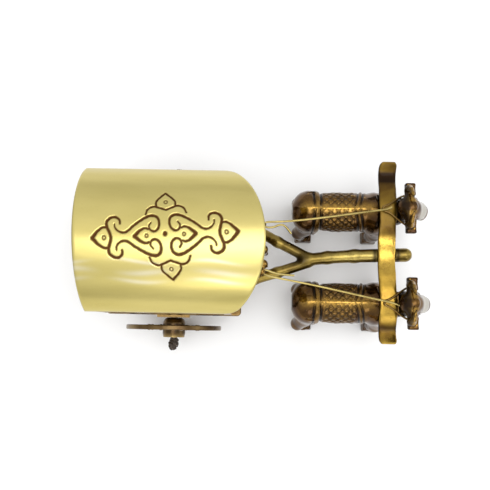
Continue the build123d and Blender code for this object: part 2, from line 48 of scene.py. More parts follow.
# the modelling clay: a distance field in millimetres, meshed at the end
def clayBlock(low, high, grain):
    counts = [int((top - bottom) / grain) + 2 for bottom, top in zip(low, high)]
    axes = [bottom + grain * np.arange(count) for bottom, count in zip(low, counts)]
    return {"axes": axes, "grain": grain, "low": low,
            "field": np.full(counts, 9.0, np.float32)}


def clayWindow(clay, low, high):
    spans = []
    for axis, bottom, top in zip(clay["axes"], low, high):
        first = int(np.searchsorted(axis, bottom))
        last = int(np.searchsorted(axis, top))
        spans.append(slice(min(first, len(axis) - 1), max(last, 1)))
    x, y, z = [axis[span].astype(np.float32) for axis, span in zip(clay["axes"], spans)]
    return tuple(spans), x[:, None, None], y[None, :, None], z[None, None, :]


def softMin(one, other, soft):
    share = np.clip(0.5 + 0.5 * (other - one) / soft, 0, 1)
    return other + (one - other) * share - soft * share * (1 - share)


def pressOn(clay, low, high, shape, soft, cut=False):
    # joins a form to the clay, or cuts it away, inside a window with some room round it
    room = soft + 1.6
    window, x, y, z = clayWindow(clay, [v - room for v in low], [v + room for v in high])
    here = clay["field"][window]
    if here.size == 0:
        return
    form = shape(x, y, z)
    if cut:
        clay["field"][window] = -softMin(-here, form, soft)
    else:
        clay["field"][window] = softMin(here, form, soft)


def limb(clay, points, radii, soft=1.5, wide=1.0, cut=False):
    # round limbs through the points; wide stretches them sideways about y of the first point
    for index in range(len(points) - 1):
        start, end = np.array(points[index], float), np.array(points[index + 1], float)
        first, last = radii[index], radii[index + 1]
        along = end - start
        span = float(along @ along) + 1e-9
        reach = max(first, last)

        def shape(x, y, z, start=start, along=along, span=span, first=first, last=last):
            dx, dy, dz = x - start[0], y - start[1], z - start[2]
            t = np.clip((dx * along[0] + dy * along[1] + dz * along[2]) / span, 0, 1)
            gap = np.sqrt((dx - t * along[0]) ** 2 + ((dy - t * along[1]) / wide) ** 2
                          + (dz - t * along[2]) ** 2)
            return gap - (first + (last - first) * t)

        spread = [reach, reach * max(1.0, wide), reach]
        pressOn(clay, np.minimum(start, end) - spread, np.maximum(start, end) + spread,
                shape, soft, cut)


def egg(clay, centre, radii, soft=1.5, tilt=0.0, cut=False):
    # an ellipsoid; tilt turns it about y, nose down when positive
    cosTilt, sinTilt = math.cos(math.radians(tilt)), math.sin(math.radians(tilt))

    def shape(x, y, z):
        dx, dy, dz = x - centre[0], y - centre[1], z - centre[2]
        px = dx * cosTilt - dz * sinTilt
        pz = dx * sinTilt + dz * cosTilt
        near = np.sqrt((px / radii[0]) ** 2 + (dy / radii[1]) ** 2 + (pz / radii[2]) ** 2)
        far = np.sqrt((px / radii[0] ** 2) ** 2 + (dy / radii[1] ** 2) ** 2
                      + (pz / radii[2] ** 2) ** 2)
        return near * (near - 1) / (far + 1e-6)

    reach = max(radii[0], radii[2])
    spread = np.array([reach, radii[1], reach])
    pressOn(clay, np.array(centre) - spread, np.array(centre) + spread, shape, soft, cut)


def block(clay, centre, half, rounding=1.0, soft=1.0, cut=False, taper=0.0):
    def shape(x, y, z):
        shrink = 1 - taper * (z - centre[2]) / half[2]
        dx = np.abs(x - centre[0]) - half[0] * shrink + rounding
        dy = np.abs(y - centre[1]) - half[1] * shrink + rounding
        dz = np.abs(z - centre[2]) - half[2] + rounding
        outside = np.sqrt(np.maximum(dx, 0) ** 2 + np.maximum(dy, 0) ** 2
                          + np.maximum(dz, 0) ** 2)
        return outside + np.minimum(np.maximum(np.maximum(dx, dy), dz), 0) - rounding

    grown = np.array(half) * (1 + abs(taper))
    pressOn(clay, np.array(centre) - grown, np.array(centre) + grown, shape, soft, cut)


def ring(clay, centre, axis, radius, thick, soft=0.6, cut=False):
    axis = np.array(axis, float) / np.linalg.norm(axis)

    def shape(x, y, z):
        dx, dy, dz = x - centre[0], y - centre[1], z - centre[2]
        height = dx * axis[0] + dy * axis[1] + dz * axis[2]
        away = np.sqrt(np.maximum(dx ** 2 + dy ** 2 + dz ** 2 - height ** 2, 0))
        return np.sqrt((away - radius) ** 2 + height ** 2) - thick

    spread = radius + thick
    pressOn(clay, np.array(centre) - spread, np.array(centre) + spread, shape, soft, cut)


def carveRelief(clay, relief):
    # relief is a depth in millimetres for every point; positive goes into the surface
    _, x, y, z = clayWindow(clay, [-1e6] * 3, [1e6] * 3)
    thin = 24  # slabs along x keep the memory small
    for first in range(0, clay["field"].shape[0], thin):
        slab = slice(first, first + thin)
        clay["field"][slab] += relief(x[slab], y, z).astype(np.float32)


def fireClay(name, clay, shift=(0, 0, 0), marks=None):
    # the clay becomes a mesh piece; marks adds values per point for the finish
    grid = openvdb.FloatGrid(9.0)
    grid.copyFromArray(clay["field"])
    points, triangles, quads = grid.convertToPolygons(isovalue=0.0, adaptivity=clay.get("lazy", 0.0))
    points = points * clay["grain"] + np.array(clay["low"])
    mesh = bpy.data.meshes.new(name)
    placed = (points + np.array(shift) + (0, sideShift, 0)) * mm
    faces = [tuple(face[::-1]) for face in quads.tolist()]
    faces += [tuple(face[::-1]) for face in triangles.tolist()]
    mesh.from_pydata(placed.tolist(), [], faces)
    mesh.validate()
    mesh.polygons.foreach_set("use_smooth", [True] * len(mesh.polygons))
    for mark, values in (marks(points) if marks else {}).items():
        layer = mesh.attributes.new(mark, "FLOAT", "POINT")
        layer.data.foreach_set("value", np.asarray(values, np.float32))
    piece = bpy.data.objects.new(name, mesh)
    bpy.context.scene.collection.objects.link(piece)
    print("cart:", name, len(mesh.polygons), "faces")
    return piece


def fit(piece, body, slotName, material, *nodes):
    # every new piece rides on its body, stands for its plain twin and wears its finish
    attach(piece, body)
    if nodes:
        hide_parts(*nodes)
    piece.data.materials.clear()
    piece.data.materials.append(material)


def bell(value, width):
    return np.exp(-(value / width) ** 2)


def step(low, high, value):
    t = np.clip((value - low) / (high - low), 0, 1)
    return t * t * (3 - 2 * t)


# finishes
def newNode(tree, kind, **values):
    node = tree.nodes.new(kind)
    for name, value in values.items():
        if hasattr(node, name):
            setattr(node, name, value)
        else:
            node.inputs[name.replace("_", " ").title()].default_value = value
    return node


def patch(tree, coords, scale, detail=4.0, stretch=(1, 1, 1), distortion=0.0):
    # soft clouds of a given number per metre
    mapping = newNode(tree, "ShaderNodeMapping")
    mapping.inputs["Scale"].default_value = stretch
    tree.links.new(coords.outputs["Object"], mapping.inputs["Vector"])
    noise = newNode(tree, "ShaderNodeTexNoise")
    noise.inputs["Scale"].default_value = scale
    noise.inputs["Detail"].default_value = detail
    noise.inputs["Distortion"].default_value = distortion
    tree.links.new(mapping.outputs["Vector"], noise.inputs["Vector"])
    return noise.outputs["Fac"]


def remap(tree, source, low, high, newLow=0.0, newHigh=1.0):
    node = newNode(tree, "ShaderNodeMapRange")
    for socket, value in zip(("From Min", "From Max", "To Min", "To Max"),
                             (low, high, newLow, newHigh)):
        node.inputs[socket].default_value = value
    tree.links.new(source, node.inputs["Value"])
    return node.outputs["Result"]


def blendColour(tree, share, under, over):
    node = newNode(tree, "ShaderNodeMix", data_type="RGBA")
    for socket, value in ((node.inputs[6], under), (node.inputs[7], over)):
        if isinstance(value, tuple):
            socket.default_value = (*value, 1)
        else:
            tree.links.new(value, socket)
    if isinstance(share, float):
        node.inputs[0].default_value = share
    else:
        tree.links.new(share, node.inputs[0])
    return node.outputs[2]


def combine(tree, kind, one, other):
    node = newNode(tree, "ShaderNodeMath", operation=kind, use_clamp=True)
    for socket, value in zip(node.inputs, (one, other)):
        if isinstance(value, float):
            socket.default_value = value
        else:
            tree.links.new(value, socket)
    return node.outputs[0]


def mark(tree, name):
    return newNode(tree, "ShaderNodeAttribute", attribute_name=name).outputs["Fac"]


def metal(name, plan):
    # plan: dark, mid, bright, groove colours; clouds and grain per metre; gloss range
    material = bpy.data.materials.new(name)
    material.use_nodes = True
    tree = material.node_tree
    shader = tree.nodes["Principled BSDF"]
    shader.inputs["Metallic"].default_value = plan.get("metallic", 1.0)
    shader.inputs["Coat Weight"].default_value = plan.get("lacquer", 0.0)
    shader.inputs["Coat Roughness"].default_value = plan.get("lacquerRough", 0.12)
    shader.inputs["IOR"].default_value = 1.5
    coords = newNode(tree, "ShaderNodeTexCoord")
    clouds = patch(tree, coords, plan["clouds"], 5.0, plan.get("stretch", (1, 1, 1)), 0.4)
    grain = patch(tree, coords, plan["grain"], 6.0, plan.get("stretch", (1, 1, 1)))
    geometry = newNode(tree, "ShaderNodeNewGeometry")
    ridges = remap(tree, geometry.outputs["Pointiness"], plan.get("ridgeLow", 0.51),
                   plan.get("ridgeHigh", 0.58))
    hollows = remap(tree, geometry.outputs["Pointiness"], plan.get("hollowHigh", 0.49),
                    plan.get("hollowLow", 0.42))
    body = blendColour(tree, remap(tree, clouds, 0.36, 0.64), plan["dark"], plan["mid"])
    # raised edges, marked wear and painted highlights take the bright colour
    worn = combine(tree, "MAXIMUM", ridges, mark(tree, "worn"))
    worn = combine(tree, "MULTIPLY", worn, remap(tree, grain, 0.3, 0.6, 0.45, 1.0))
    body = blendColour(tree, worn, body, plan["bright"])
    # painted highlights and painted reflections blend toward the pale colour
    rubbed = mark(tree, "rubbed")
    body = blendColour(tree, rubbed, body, plan.get("pale", plan["bright"]))
    # hollows and marked patina take the groove colour, and so does painted shade
    hollowPatinaAndShade = combine(tree, "MAXIMUM", hollows, mark(tree, "grime"))
    body = blendColour(tree, hollowPatinaAndShade, body, plan["groove"])
    specks = patch(tree, coords, plan.get("specks", 900), 3.0)
    body = blendColour(tree, remap(tree, specks, 0.62, 0.78, 0.0, plan.get("speckle", 0.35)),
                       body, plan["groove"])
    tree.links.new(body, shader.inputs["Base Color"])
    glossLow, glossHigh = plan["rough"]
    roughness = remap(tree, clouds, 0.3, 0.7, glossLow, glossHigh)
    dull = combine(tree, "MULTIPLY", hollowPatinaAndShade, plan.get("grooveDull", 0.25))
    tree.links.new(combine(tree, "ADD", roughness, dull), shader.inputs["Roughness"])
    fine = newNode(tree, "ShaderNodeBump")
    fine.inputs["Strength"].default_value = plan.get("grainBump", 0.25)
    fine.inputs["Distance"].default_value = plan.get("grainDepth", 0.00012)
    tree.links.new(grain, fine.inputs["Height"])
    broad = newNode(tree, "ShaderNodeBump")
    broad.inputs["Strength"].default_value = plan.get("waveBump", 0.3)
    broad.inputs["Distance"].default_value = plan.get("waveDepth", 0.0006)
    tree.links.new(clouds, broad.inputs["Height"])
    tree.links.new(broad.outputs["Normal"], fine.inputs["Normal"])
    tree.links.new(fine.outputs["Normal"], shader.inputs["Normal"])
    return material


# the pale colours below are the tones of painted highlights and painted reflections
hoodBrass = metal("hood brass, buffed", {
    "dark": (0.53, 0.44, 0.135), "mid": (0.66, 0.56, 0.205), "bright": (0.76, 0.68, 0.34),
    "groove": (0.09, 0.035, 0.008), "pale": (0.78, 0.74, 0.60), "clouds": 16, "grain": 260,
    "stretch": (0.35, 1.6, 1.6), "rough": (0.26, 0.36), "grainBump": 0.06,
    "grainDepth": 0.00004, "speckle": 0.12, "waveBump": 0.12, "waveDepth": 0.0010,
    "ridgeLow": 0.56, "ridgeHigh": 0.7, "hollowHigh": 0.40, "hollowLow": 0.30,
    "lacquer": 0.06, "lacquerRough": 0.2})
castBrass = metal("cast brass, aged", {
    "dark": (0.050, 0.020, 0.0045), "mid": (0.135, 0.066, 0.012), "bright": (0.44, 0.26, 0.05),
    "groove": (0.008, 0.004, 0.002), "pale": (0.50, 0.48, 0.43), "clouds": 90, "grain": 700,
    "rough": (0.15, 0.27), "lacquer": 0.25, "lacquerRough": 0.08})
yokeBrass = metal("yoke brass, worn gold", {
    "dark": (0.17, 0.080, 0.013), "mid": (0.42, 0.255, 0.036), "bright": (0.60, 0.40, 0.07),
    "groove": (0.022, 0.010, 0.003), "clouds": 60, "grain": 800,
    "rough": (0.22, 0.34), "lacquer": 0.12, "lacquerRough": 0.12})
barBrass = metal("drawbar brass, olive", {
    "dark": (0.11, 0.070, 0.014), "mid": (0.29, 0.205, 0.042), "bright": (0.52, 0.41, 0.12),
    "groove": (0.014, 0.007, 0.003), "clouds": 80, "grain": 800,
    "rough": (0.24, 0.38), "lacquer": 0.2, "lacquerRough": 0.14})
wheelBrass = metal("wheel brass, dark", {
    "dark": (0.070, 0.038, 0.013), "mid": (0.165, 0.105, 0.040), "bright": (0.38, 0.27, 0.10),
    "groove": (0.016, 0.008, 0.004), "clouds": 110, "grain": 900,
    "rough": (0.26, 0.42), "lacquer": 0.15})
panelBrass = metal("panel brass, brown", {
    "dark": (0.050, 0.024, 0.009), "mid": (0.10, 0.050, 0.018), "bright": (0.28, 0.18, 0.06),
    "groove": (0.014, 0.007, 0.003), "clouds": 70, "grain": 900,
    "rough": (0.25, 0.4), "lacquer": 0.15})
bedBrass = metal("bed brass, polished", {
    "dark": (0.30, 0.20, 0.06), "mid": (0.44, 0.33, 0.13), "bright": (0.26, 0.16, 0.06),
    "groove": (0.07, 0.03, 0.01), "clouds": 40, "grain": 500, "stretch": (0.4, 1.5, 1.5),
    "rough": (0.14, 0.24), "lacquer": 0.2, "grainBump": 0.08, "waveBump": 0.1})
wireBrass = metal("wire brass, drawn", {
    "dark": (0.26, 0.19, 0.055), "mid": (0.42, 0.33, 0.11), "bright": (0.58, 0.47, 0.18),
    "groove": (0.05, 0.025, 0.008), "clouds": 120, "grain": 1200,
    "rough": (0.25, 0.36), "grainBump": 0.1, "waveBump": 0.1})
bridleBrass = metal("bridle wire, browned", {
    "dark": (0.075, 0.038, 0.010), "mid": (0.17, 0.10, 0.028), "bright": (0.34, 0.22, 0.07),
    "groove": (0.02, 0.010, 0.004), "clouds": 150, "grain": 1200,
    "rough": (0.28, 0.42), "grainBump": 0.1, "waveBump": 0.1})
darkIron = metal("iron, blackened", {
    "dark": (0.030, 0.024, 0.020), "mid": (0.075, 0.058, 0.046), "bright": (0.26, 0.20, 0.16),
    "groove": (0.010, 0.008, 0.007), "clouds": 160, "grain": 900,
    "rough": (0.3, 0.5), "grainBump": 0.5, "grainDepth": 0.0003, "lacquer": 0.12})
print("cart: finishes ready")


# hood: bent sheet with a raked front and a chased medallion
hoodPlan = {"radius": 53.63, "axisZ": 76.51, "sheet": 1.0, "halfAngle": 66.0, "lean": -1.0, "skew": 2.8,
            "rear": -123.2, "lowFront": -25.5, "visor": 21.8, "cornerRadius": 7.0,
            "grooveDepth": 0.42, "fineStep": 0.36, "plainStep": 1.6, "ripple": 0.10,
            "underEvery": 6}
medallion = {"centreX": -65.5, "centreArc": -2.2, "slant": 3.9, "along": 0.98,
             "across": 1.135, "rise": 36.0, "boldness": 1.2}

# one quarter of the medallion, in millimetres from its middle: (along, across) and widths
scrollLine = [(8.4, 7.2), (9.8, 5.2), (8.9, 2.9), (6.4, 2.2), (4.1, 3.8), (3.2, 6.6), (4.0, 9.6),
              (6.6, 11.1), (10.0, 10.8), (14.3, 8.9), (19.7, 5.7), (23.6, 2.9), (26.8, 2.3),
              (29.7, 3.5), (31.3, 5.5), (31.5, 7.2)]
voluteLine = [(28.0, 7.4), (28.3, 9.6), (30.6, 11.2), (33.6, 10.9), (36.0, 9.0), (36.3, 6.4),
              (35.3, 3.6), (34.5, 1.4), (34.3, 0.0)]
innerLeaf = [(10.4, 3.6), (12.6, 4.1), (15.6, 3.0), (19.4, 0.0)]
outerLeaf = [(36.3, 5.6), (39.0, 5.6), (42.4, 3.6), (46.0, 0.0)]
topLeaf = [(6.1, 17.0), (6.0, 19.4), (3.9, 22.0), (0.0, 25.4)]
bracketLine = [(12.9, 12.1), (11.4, 15.0), (7.8, 16.6), (3.9, 15.6), (0.0, 14.2)]
chasing = [(scrollLine, (0.5, 0.95, 0.45)), (voluteLine, (0.7, 0.95, 0.95)),
           (innerLeaf, (0.6, 0.7, 1.15)), (outerLeaf, (0.7, 0.75, 1.2)),
           (topLeaf, (0.7, 0.7, 0.8)), (bracketLine, (0.6, 0.75, 0.7))]
beads = [(11.8, 0.0, 0.85), (38.6, 0.0, 1.0), (0.0, 19.2, 1.0)]


def throughPoints(points, steps=16):
    # a smooth line through given points
    spots = [np.array(p, float) for p in points]
    spots = [2 * spots[0] - spots[1]] + spots + [2 * spots[-1] - spots[-2]]
    line = []
    for a, b, c, d in zip(spots, spots[1:], spots[2:], spots[3:]):
        for t in np.arange(steps) / steps:
            line.append(0.5 * (2 * b + (c - a) * t + (2 * a - 5 * b + 4 * c - d) * t ** 2
                               + (3 * b - a - 3 * c + d) * t ** 3))
    return np.array(line + [spots[-2]])


def chasedDepth(along, across):
    # 0 on the plain sheet, 1 at the bottom of a chased line
    depth = np.zeros_like(along)
    wobble = 0.05 * np.sin(along * 1.9) + 0.04 * np.sin(across * 2.3 + along)
    for rise in (1, -1):
        for turn in (1, -1):
            for line, (first, middle, last) in chasing:
                if line is bracketLine or line is topLeaf:
                    drift = 1.4 if rise > 0 else 1.6
                else:
                    drift = 0.0
                path = throughPoints(line) * (turn, rise) + (drift, 0.0)
                share = np.linspace(0, 1, len(path))
                widths = np.where(share < 0.5, first + (middle - first) * share * 2,
                                  middle + (last - middle) * (share * 2 - 1))
                for spot, width in zip(path, widths * medallion["boldness"]):
                    near = ((np.abs(along - spot[0]) < 2) & (np.abs(across - spot[1]) < 2))
                    gap = np.hypot(along[near] - spot[0], across[near] - spot[1]) + wobble[near]
                    depth[near] = np.maximum(depth[near], 1 - step(0.55, 1.05, gap / width))
            for bx, by, radius in beads:
                cx, cy = turn * bx + (1.5 if bx == 0 else 0), rise * by
                gap = np.abs(np.hypot(along - cx, across - cy) - radius)
                depth = np.maximum(depth, 0.85 * (1 - step(0.22, 0.6, gap)))
    gap = np.hypot(along, across - 0.6) + wobble
    return np.maximum(depth, 1 - step(1.1, 1.75, gap))


def gradedLine(low, high, fineLow, fineHigh, fine, plain):
    # closely spaced inside the fine stretch, open outside it
    parts = [np.linspace(low, fineLow, max(2, int((fineLow - low) / plain) + 1))[:-1],
             np.linspace(fineLow, fineHigh, int((fineHigh - fineLow) / fine) + 1),
             np.linspace(fineHigh, high, max(2, int((high - fineHigh) / plain) + 1))[1:]]
    return np.concatenate(parts)


def buildHood(plan):
    radius, sheet = plan["radius"], plan["sheet"]
    half = math.radians(plan["halfAngle"])
    turns = gradedLine(-half * radius, half * radius, -medallion["rise"] - 2,
                       medallion["rise"] + 2, plan["fineStep"], plan["plainStep"]) / radius
    # the front edge: raked in the side view, its lower corners rounded
    low = math.cos(half)
    front = plan["lowFront"] + plan["visor"] * (np.cos(turns) - low) / (1 - low)
    corner = plan["cornerRadius"]
    fromEdge = (half - np.abs(turns)) * radius
    inside = np.clip(corner - fromEdge, 0, corner)
    front = front - (corner - np.sqrt(corner ** 2 - inside ** 2)) * 1.05
    rows = gradedLine(0, 1, 0.03, 0.97, 0.0032, 0.01)
    # each strip runs from the rear edge to its own front edge
    share, turn = np.meshgrid(rows, turns, indexing="ij")
    x = plan["rear"] + share * (front[None, :] - plan["rear"])
    arc = turn * radius
    slant = math.radians(medallion["slant"])
    aheadGap, sideGap = x - medallion["centreX"], arc - medallion["centreArc"]
    along = (aheadGap * math.cos(slant) + sideGap * math.sin(slant)) / medallion["along"]
    across = (sideGap * math.cos(slant) - aheadGap * math.sin(slant)) / medallion["across"]
    depth = chasedDepth(along, across)
    ripple = plan["ripple"] * (np.sin(arc * 0.21 + 0.8) * np.sin(x * 0.031 + 1.0)
                               + 0.6 * np.sin(arc * 0.47 + x * 0.018))
    ripple = ripple * step(0, 6, fromEdge)[None, :] * step(0, 0.06, share) * step(1, 0.94, share)
    # rounded sheet edges: the skin turns in over the last part of the thickness
    edge = np.minimum(np.minimum(x - plan["rear"], front[None, :] - x), fromEdge[None, :])
    relief = plan["grooveDepth"] * depth + 0.25 * (1 - step(0, 0.5, edge)) - 0.5 * ripple + 0.1
    lean = math.radians(plan["lean"])
    skew = math.tan(math.radians(plan["skew"]))

    def around(r):
        across = r * np.sin(turn - lean)
        return np.stack([x - across * skew, sideShift + across,
                         plan["axisZ"] + r * np.cos(turn - lean)], -1)

    # painted highlight: pale wavy streaks low on the sheet's right side
    highlightStreaks = 0
    for level, wave, width in ((-19.0, 0.11, 1.2), (-25.5, 0.085, 1.9), (-31.5, 0.10, 1.5)):
        middle = level + 1.5 * np.sin(x * wave + level)
        highlightStreaks = highlightStreaks + bell(arc - middle, width) * (0.5 + 0.5 * np.sin(x * 0.13 + level * 2))
    return around(radius - relief), around(radius - sheet), depth, 0.55 * np.clip(highlightStreaks, 0, 1)


def undersideFaces(rowsCount, turnsCount, every, offset):
    # open pitch inside, full pitch along the rim, so that the sheet closes
    rows = sorted(set(range(0, rowsCount, every)) | {rowsCount - 1})
    turns = sorted(set(range(0, turnsCount, every)) | {turnsCount - 1})
    used, faces = {}, []
    for r0, r1 in zip(rows, rows[1:]):
        for t0, t1 in zip(turns, turns[1:]):
            loop = [(r, t0) for r in (range(r0, r1) if t0 == 0 else [r0])]
            loop += [(r1, t) for t in (range(t0, t1) if r1 == rows[-1] else [t0])]
            loop += [(r, t1) for r in (range(r1, r0, -1) if t1 == turns[-1] else [r1])]
            loop += [(r0, t) for t in (range(t1, t0, -1) if r0 == 0 else [t1])]
            faces.append([used.setdefault(spot, offset + len(used)) for spot in loop][::-1])
    return used, faces


def hoodMesh():
    outer, inner, depth, highlightStreaks = buildHood(hoodPlan)
    rowsCount, turnsCount, _ = outer.shape
    size = rowsCount * turnsCount
    index = np.arange(size).reshape(rowsCount, turnsCount)
    quads = np.stack([index[:-1, :-1], index[1:, :-1], index[1:, 1:], index[:-1, 1:]], -1)
    faces = quads.reshape(-1, 4).tolist()
    used, under = undersideFaces(rowsCount, turnsCount, hoodPlan["underEvery"], size)
    rim = ([(0, t) for t in range(turnsCount)]
           + [(r, turnsCount - 1) for r in range(1, rowsCount)]
           + [(rowsCount - 1, t) for t in range(turnsCount - 2, -1, -1)]
           + [(r, 0) for r in range(rowsCount - 2, 0, -1)])
    for here, there in zip(rim, rim[1:] + rim[:1]):
        faces.append([int(index[here]), int(index[there]), used[there], used[here]])
    below = np.array([inner[spot] for spot in used])
    mesh = bpy.data.meshes.new("hood_sheet")
    mesh.from_pydata((np.concatenate([outer.reshape(-1, 3), below]) * mm).tolist(), [],
                     faces + under)
    mesh.polygons.foreach_set("use_smooth", [True] * len(mesh.polygons))
    for markName, values in (("grime", depth), ("rubbed", highlightStreaks)):
        layer = mesh.attributes.new(markName, "FLOAT", "POINT")
        shade = np.concatenate([values.reshape(-1), np.zeros(len(below))])
        layer.data.foreach_set("value", shade.astype(np.float32))
    piece = bpy.data.objects.new("hood_sheet", mesh)
    bpy.context.scene.collection.objects.link(piece)
    print("cart: hood", len(mesh.polygons), "faces")
    return piece


hood = hoodMesh()
fit(hood, "cart", "polished_brass", hoodBrass, "hood")


# wires: reins and bridles, bent by hand
wirePlan = {"thickness": 1.5, "smoothness": 5}
leftReinRoute = [(16.4, 11.0, 68.6), (12.5, 16.6, 69.4), (8.3, 17.6, 69.8), (3.5, 15.2, 69.9),
                 (-1.7, 15.0, 70.0), (-4.3, 17.0, 70.1), (-1.9, 19.1, 70.4), (4.3, 19.2, 70.4),
                 (16.4, 20.0, 70.1), (35.9, 22.6, 69.4), (61.9, 26.9, 67.4), (76.9, 29.6, 65.4),
                 (83.9, 31.0, 63.8), (88.3, 31.8, 63.2), (90.5, 33.2, 63.4)]
rightReinRoute = [(18.9, -19.0, 67.4), (9.9, -18.6, 68.4), (3.5, -17.4, 69.4),
                  (-1.5, -15.4, 70.0), (-4.5, -16.4, 70.1), (-2.7, -19.0, 70.4),
                  (3.7, -20.7, 70.5), (15.9, -22.8, 70.2), (35.9, -26.3, 69.2),
                  (61.9, -31.5, 67.2), (77.9, -34.6, 65.2), (86.9, -36.2, 63.6),
                  (92.5, -37.6, 63.2), (95.3, -38.6, 62.8)]
bridleRoute = [(104.9, -12.0, 55.4), (109.6, -11.2, 51.4), (112.9, -8.0, 46.4),
               (113.8, -3.0, 42.8), (113.8, 3.0, 42.8), (112.9, 8.0, 46.4), (109.6, 11.2, 51.4),
               (104.9, 12.0, 55.4), (98.5, 9.8, 58.8), (92.9, 5.6, 61.4), (88.3, 2.5, 61.5),
               (84.9, 1.6, 61.2), (84.9, -1.6, 61.2), (88.3, -2.5, 61.5), (92.9, -5.6, 61.4),
               (98.5, -9.8, 59.4), (104.5, -12.8, 57.4)]


def bentWire(name, points, material, node):
    points = [(x, y + sideShift, z) for x, y, z in points]
    curve = bpy.data.curves.new(name, "CURVE")
    curve.dimensions = "3D"
    spline = curve.splines.new("NURBS")
    spline.points.add(len(points) - 1)
    for point, place in zip(spline.points, points):
        point.co = (*[value * mm for value in place], 1)
        point.radius = wirePlan["thickness"] / 2 * mm
    spline.order_u = 3
    spline.use_endpoint_u = True
    spline.resolution_u = 10
    curve.bevel_depth = 1.0  # metres; the points carry the wire's own radius
    curve.bevel_resolution = wirePlan["smoothness"]
    curve.use_fill_caps = True
    wire = bpy.data.objects.new(name, curve)
    bpy.context.scene.collection.objects.link(wire)
    fit(wire, "cart", "wire_brass", material, node)


pairMiddle = {"left": 32.5, "right": -37.1}  # where each bullock stands across the cart
for side, sign in (("left", 1), ("right", -1)):
    loop = [(x, pairMiddle[side] + sign * y, z) for x, y, z in bridleRoute]
    bentWire(side + "_bridle_wire", loop, bridleBrass, side + "_bridle")
bentWire("left_rein_wire", leftReinRoute, wireBrass, "left_rein")
bentWire("right_rein_wire", rightReinRoute, wireBrass, "right_rein")
print("cart: wires bent")

# bullocks: cast figures with straps, a latticed cloth, horns and a yoke-worn neck
bullockPlan = {"grain": 0.46, "spine": 45.5, "rump": 19.6, "girth": (34.2, 39.6),
               "cloth": (41.5, 64.5), "latticePitch": 4.2, "grooveDepth": 0.85,
               "chestLines": (63.5, 67.0), "chestSlope": 0.27, "leftStance": 11.0, "hindFoot": 30.6,
               "foreFoot": 84.9, "skull": (103.0, 65.6)}


def bullockRelief(x, y, z):
    # strap, lattice and chest grooves round the barrel of the body
    plan = bullockPlan
    up = z - plan["spine"]
    turn = np.arctan2(y, up)
    arc = turn * 15.0
    away = np.sqrt(y ** 2 + up ** 2)
    onBody = step(9.5, 11.5, away) * step(21, 19, away)
    offRidge = 1 - bell(arc, 1.7)
    relief = np.zeros(np.broadcast(x, y, z).shape, np.float32)
    first, last = plan["girth"]
    pinch = 0.8 * bell(arc, 4.0)
    strapX = bell(x - first - pinch, 0.85) + bell(x - last + pinch, 0.85)
    relief += 0.95 * strapX * offRidge
    band = step(first, first + 1.5, x) * step(last, last - 1.5, x)
    relief -= 0.55 * band
    cloth = step(plan["cloth"][0] - 0.4, plan["cloth"][0] + 0.4, x)
    cloth = cloth * step(plan["cloth"][1] + 0.4, plan["cloth"][1] - 0.4, x)
    low = step(31, 29.5, np.abs(arc))
    pitch = plan["latticePitch"]
    lean = (x - 55) * 0.74
    one = np.abs(np.mod((lean + arc * 0.68) / pitch, 1) - 0.5) * pitch
    two = np.abs(np.mod((lean - arc * 0.68) / pitch, 1) - 0.5) * pitch
    lines = np.maximum(bell(one - pitch / 2, 0.40), bell(two - pitch / 2, 0.40))
    pads = bell(np.minimum(one, two), 1.1)
    side = 1 - bell(arc, 2.3)
    relief += cloth * low * (plan["grooveDepth"] * lines * side - 0.12 * pads * side - 0.30)
    # the cloth's hem and the spine's raised ridge
    hem = bell(np.abs(arc) - 30.0, 0.8)
    relief += cloth * 0.5 * hem
    ridge = bell(arc, 1.9) * step(22, 30, x) * step(74, 70, x)
    relief -= 0.55 * ridge
    for start in plan["chestLines"]:
        lineX = start + plan["chestSlope"] * np.abs(arc) + 0.7 * np.sin(np.abs(arc) * 0.2)
        relief += 0.85 * bell(x - lineX, 0.75) * offRidge * step(36, 30, np.abs(arc))
    back = x - plan["chestSlope"] * np.abs(arc)
    swell = step(plan["chestLines"][0], plan["chestLines"][0] + 1, back)
    swell = swell * step(plan["chestLines"][1], plan["chestLines"][1] - 1, back)
    relief -= 0.35 * swell
    return relief * onBody


def bullockMarks(points):
    x, y, z = points[:, 0], points[:, 1], points[:, 2]
    relief = bullockRelief(x, y, z)
    grime = np.clip(relief * 1.8, 0, 1)
    # painted highlight along the top of the back, which also lightens the groove patina there; raised
    # straps take real wear
    up = z - bullockPlan["spine"]
    high = step(9, 15, up) * bell(y, 4.0) * step(20, 26, x) * step(82, 76, x)
    worn = np.clip(-relief * 0.5, 0, 0.4) + 0.6 * high
    # painted shade makes the neck behind the head nearly black, and a painted reflection makes the
    # sloping face pale
    neckShade = 0.8 * step(95.5, 97, x) * step(102.5, 100.5, x) * step(44, 47, z)
    face = step(110.4, 112.2, x) * step(118.2, 116.6, x) * step(7.4, 6.0, np.abs(y))
    face = face * step(50.5, 53.0, z)
    # painted highlight on the tops of the horns
    hornHighlight = step(69.5, 72, z) * step(2.5, 4, np.abs(y))
    return {"grime": np.maximum(grime * (1 - 0.8 * high), neckShade),
            "worn": np.clip(worn + 0.8 * hornHighlight, 0, 1), "rubbed": 0.9 * face}


def bullockBody(clay, plan):
    spine = plan["spine"]
    rump = plan["rump"]
    egg(clay, (rump + 13.0, 0, spine + 0.4), (13.0, 14.4, 14.9), 2)
    limb(clay, [(rump + 12, 0, spine), (52, 0, spine - 0.8), (70, 0, spine)],
         [14.2, 13.9, 15.0], 3.0)
    egg(clay, (53, 0, spine - 4.5), (17, 13.2, 12.2), 3)
    egg(clay, (73.0, 0, 54.0), (8.0, 7.4, 7.4), 4, tilt=-8)
    for out in (-1, 1):
        egg(clay, (81.0, out * 7.8, 41.0), (9.6, 8.6, 13.0), 2.5, tilt=4)
        egg(clay, (31.5, out * 7.4, 42.0), (10.8, 8.6, 14.0), 2.5, tilt=-8)


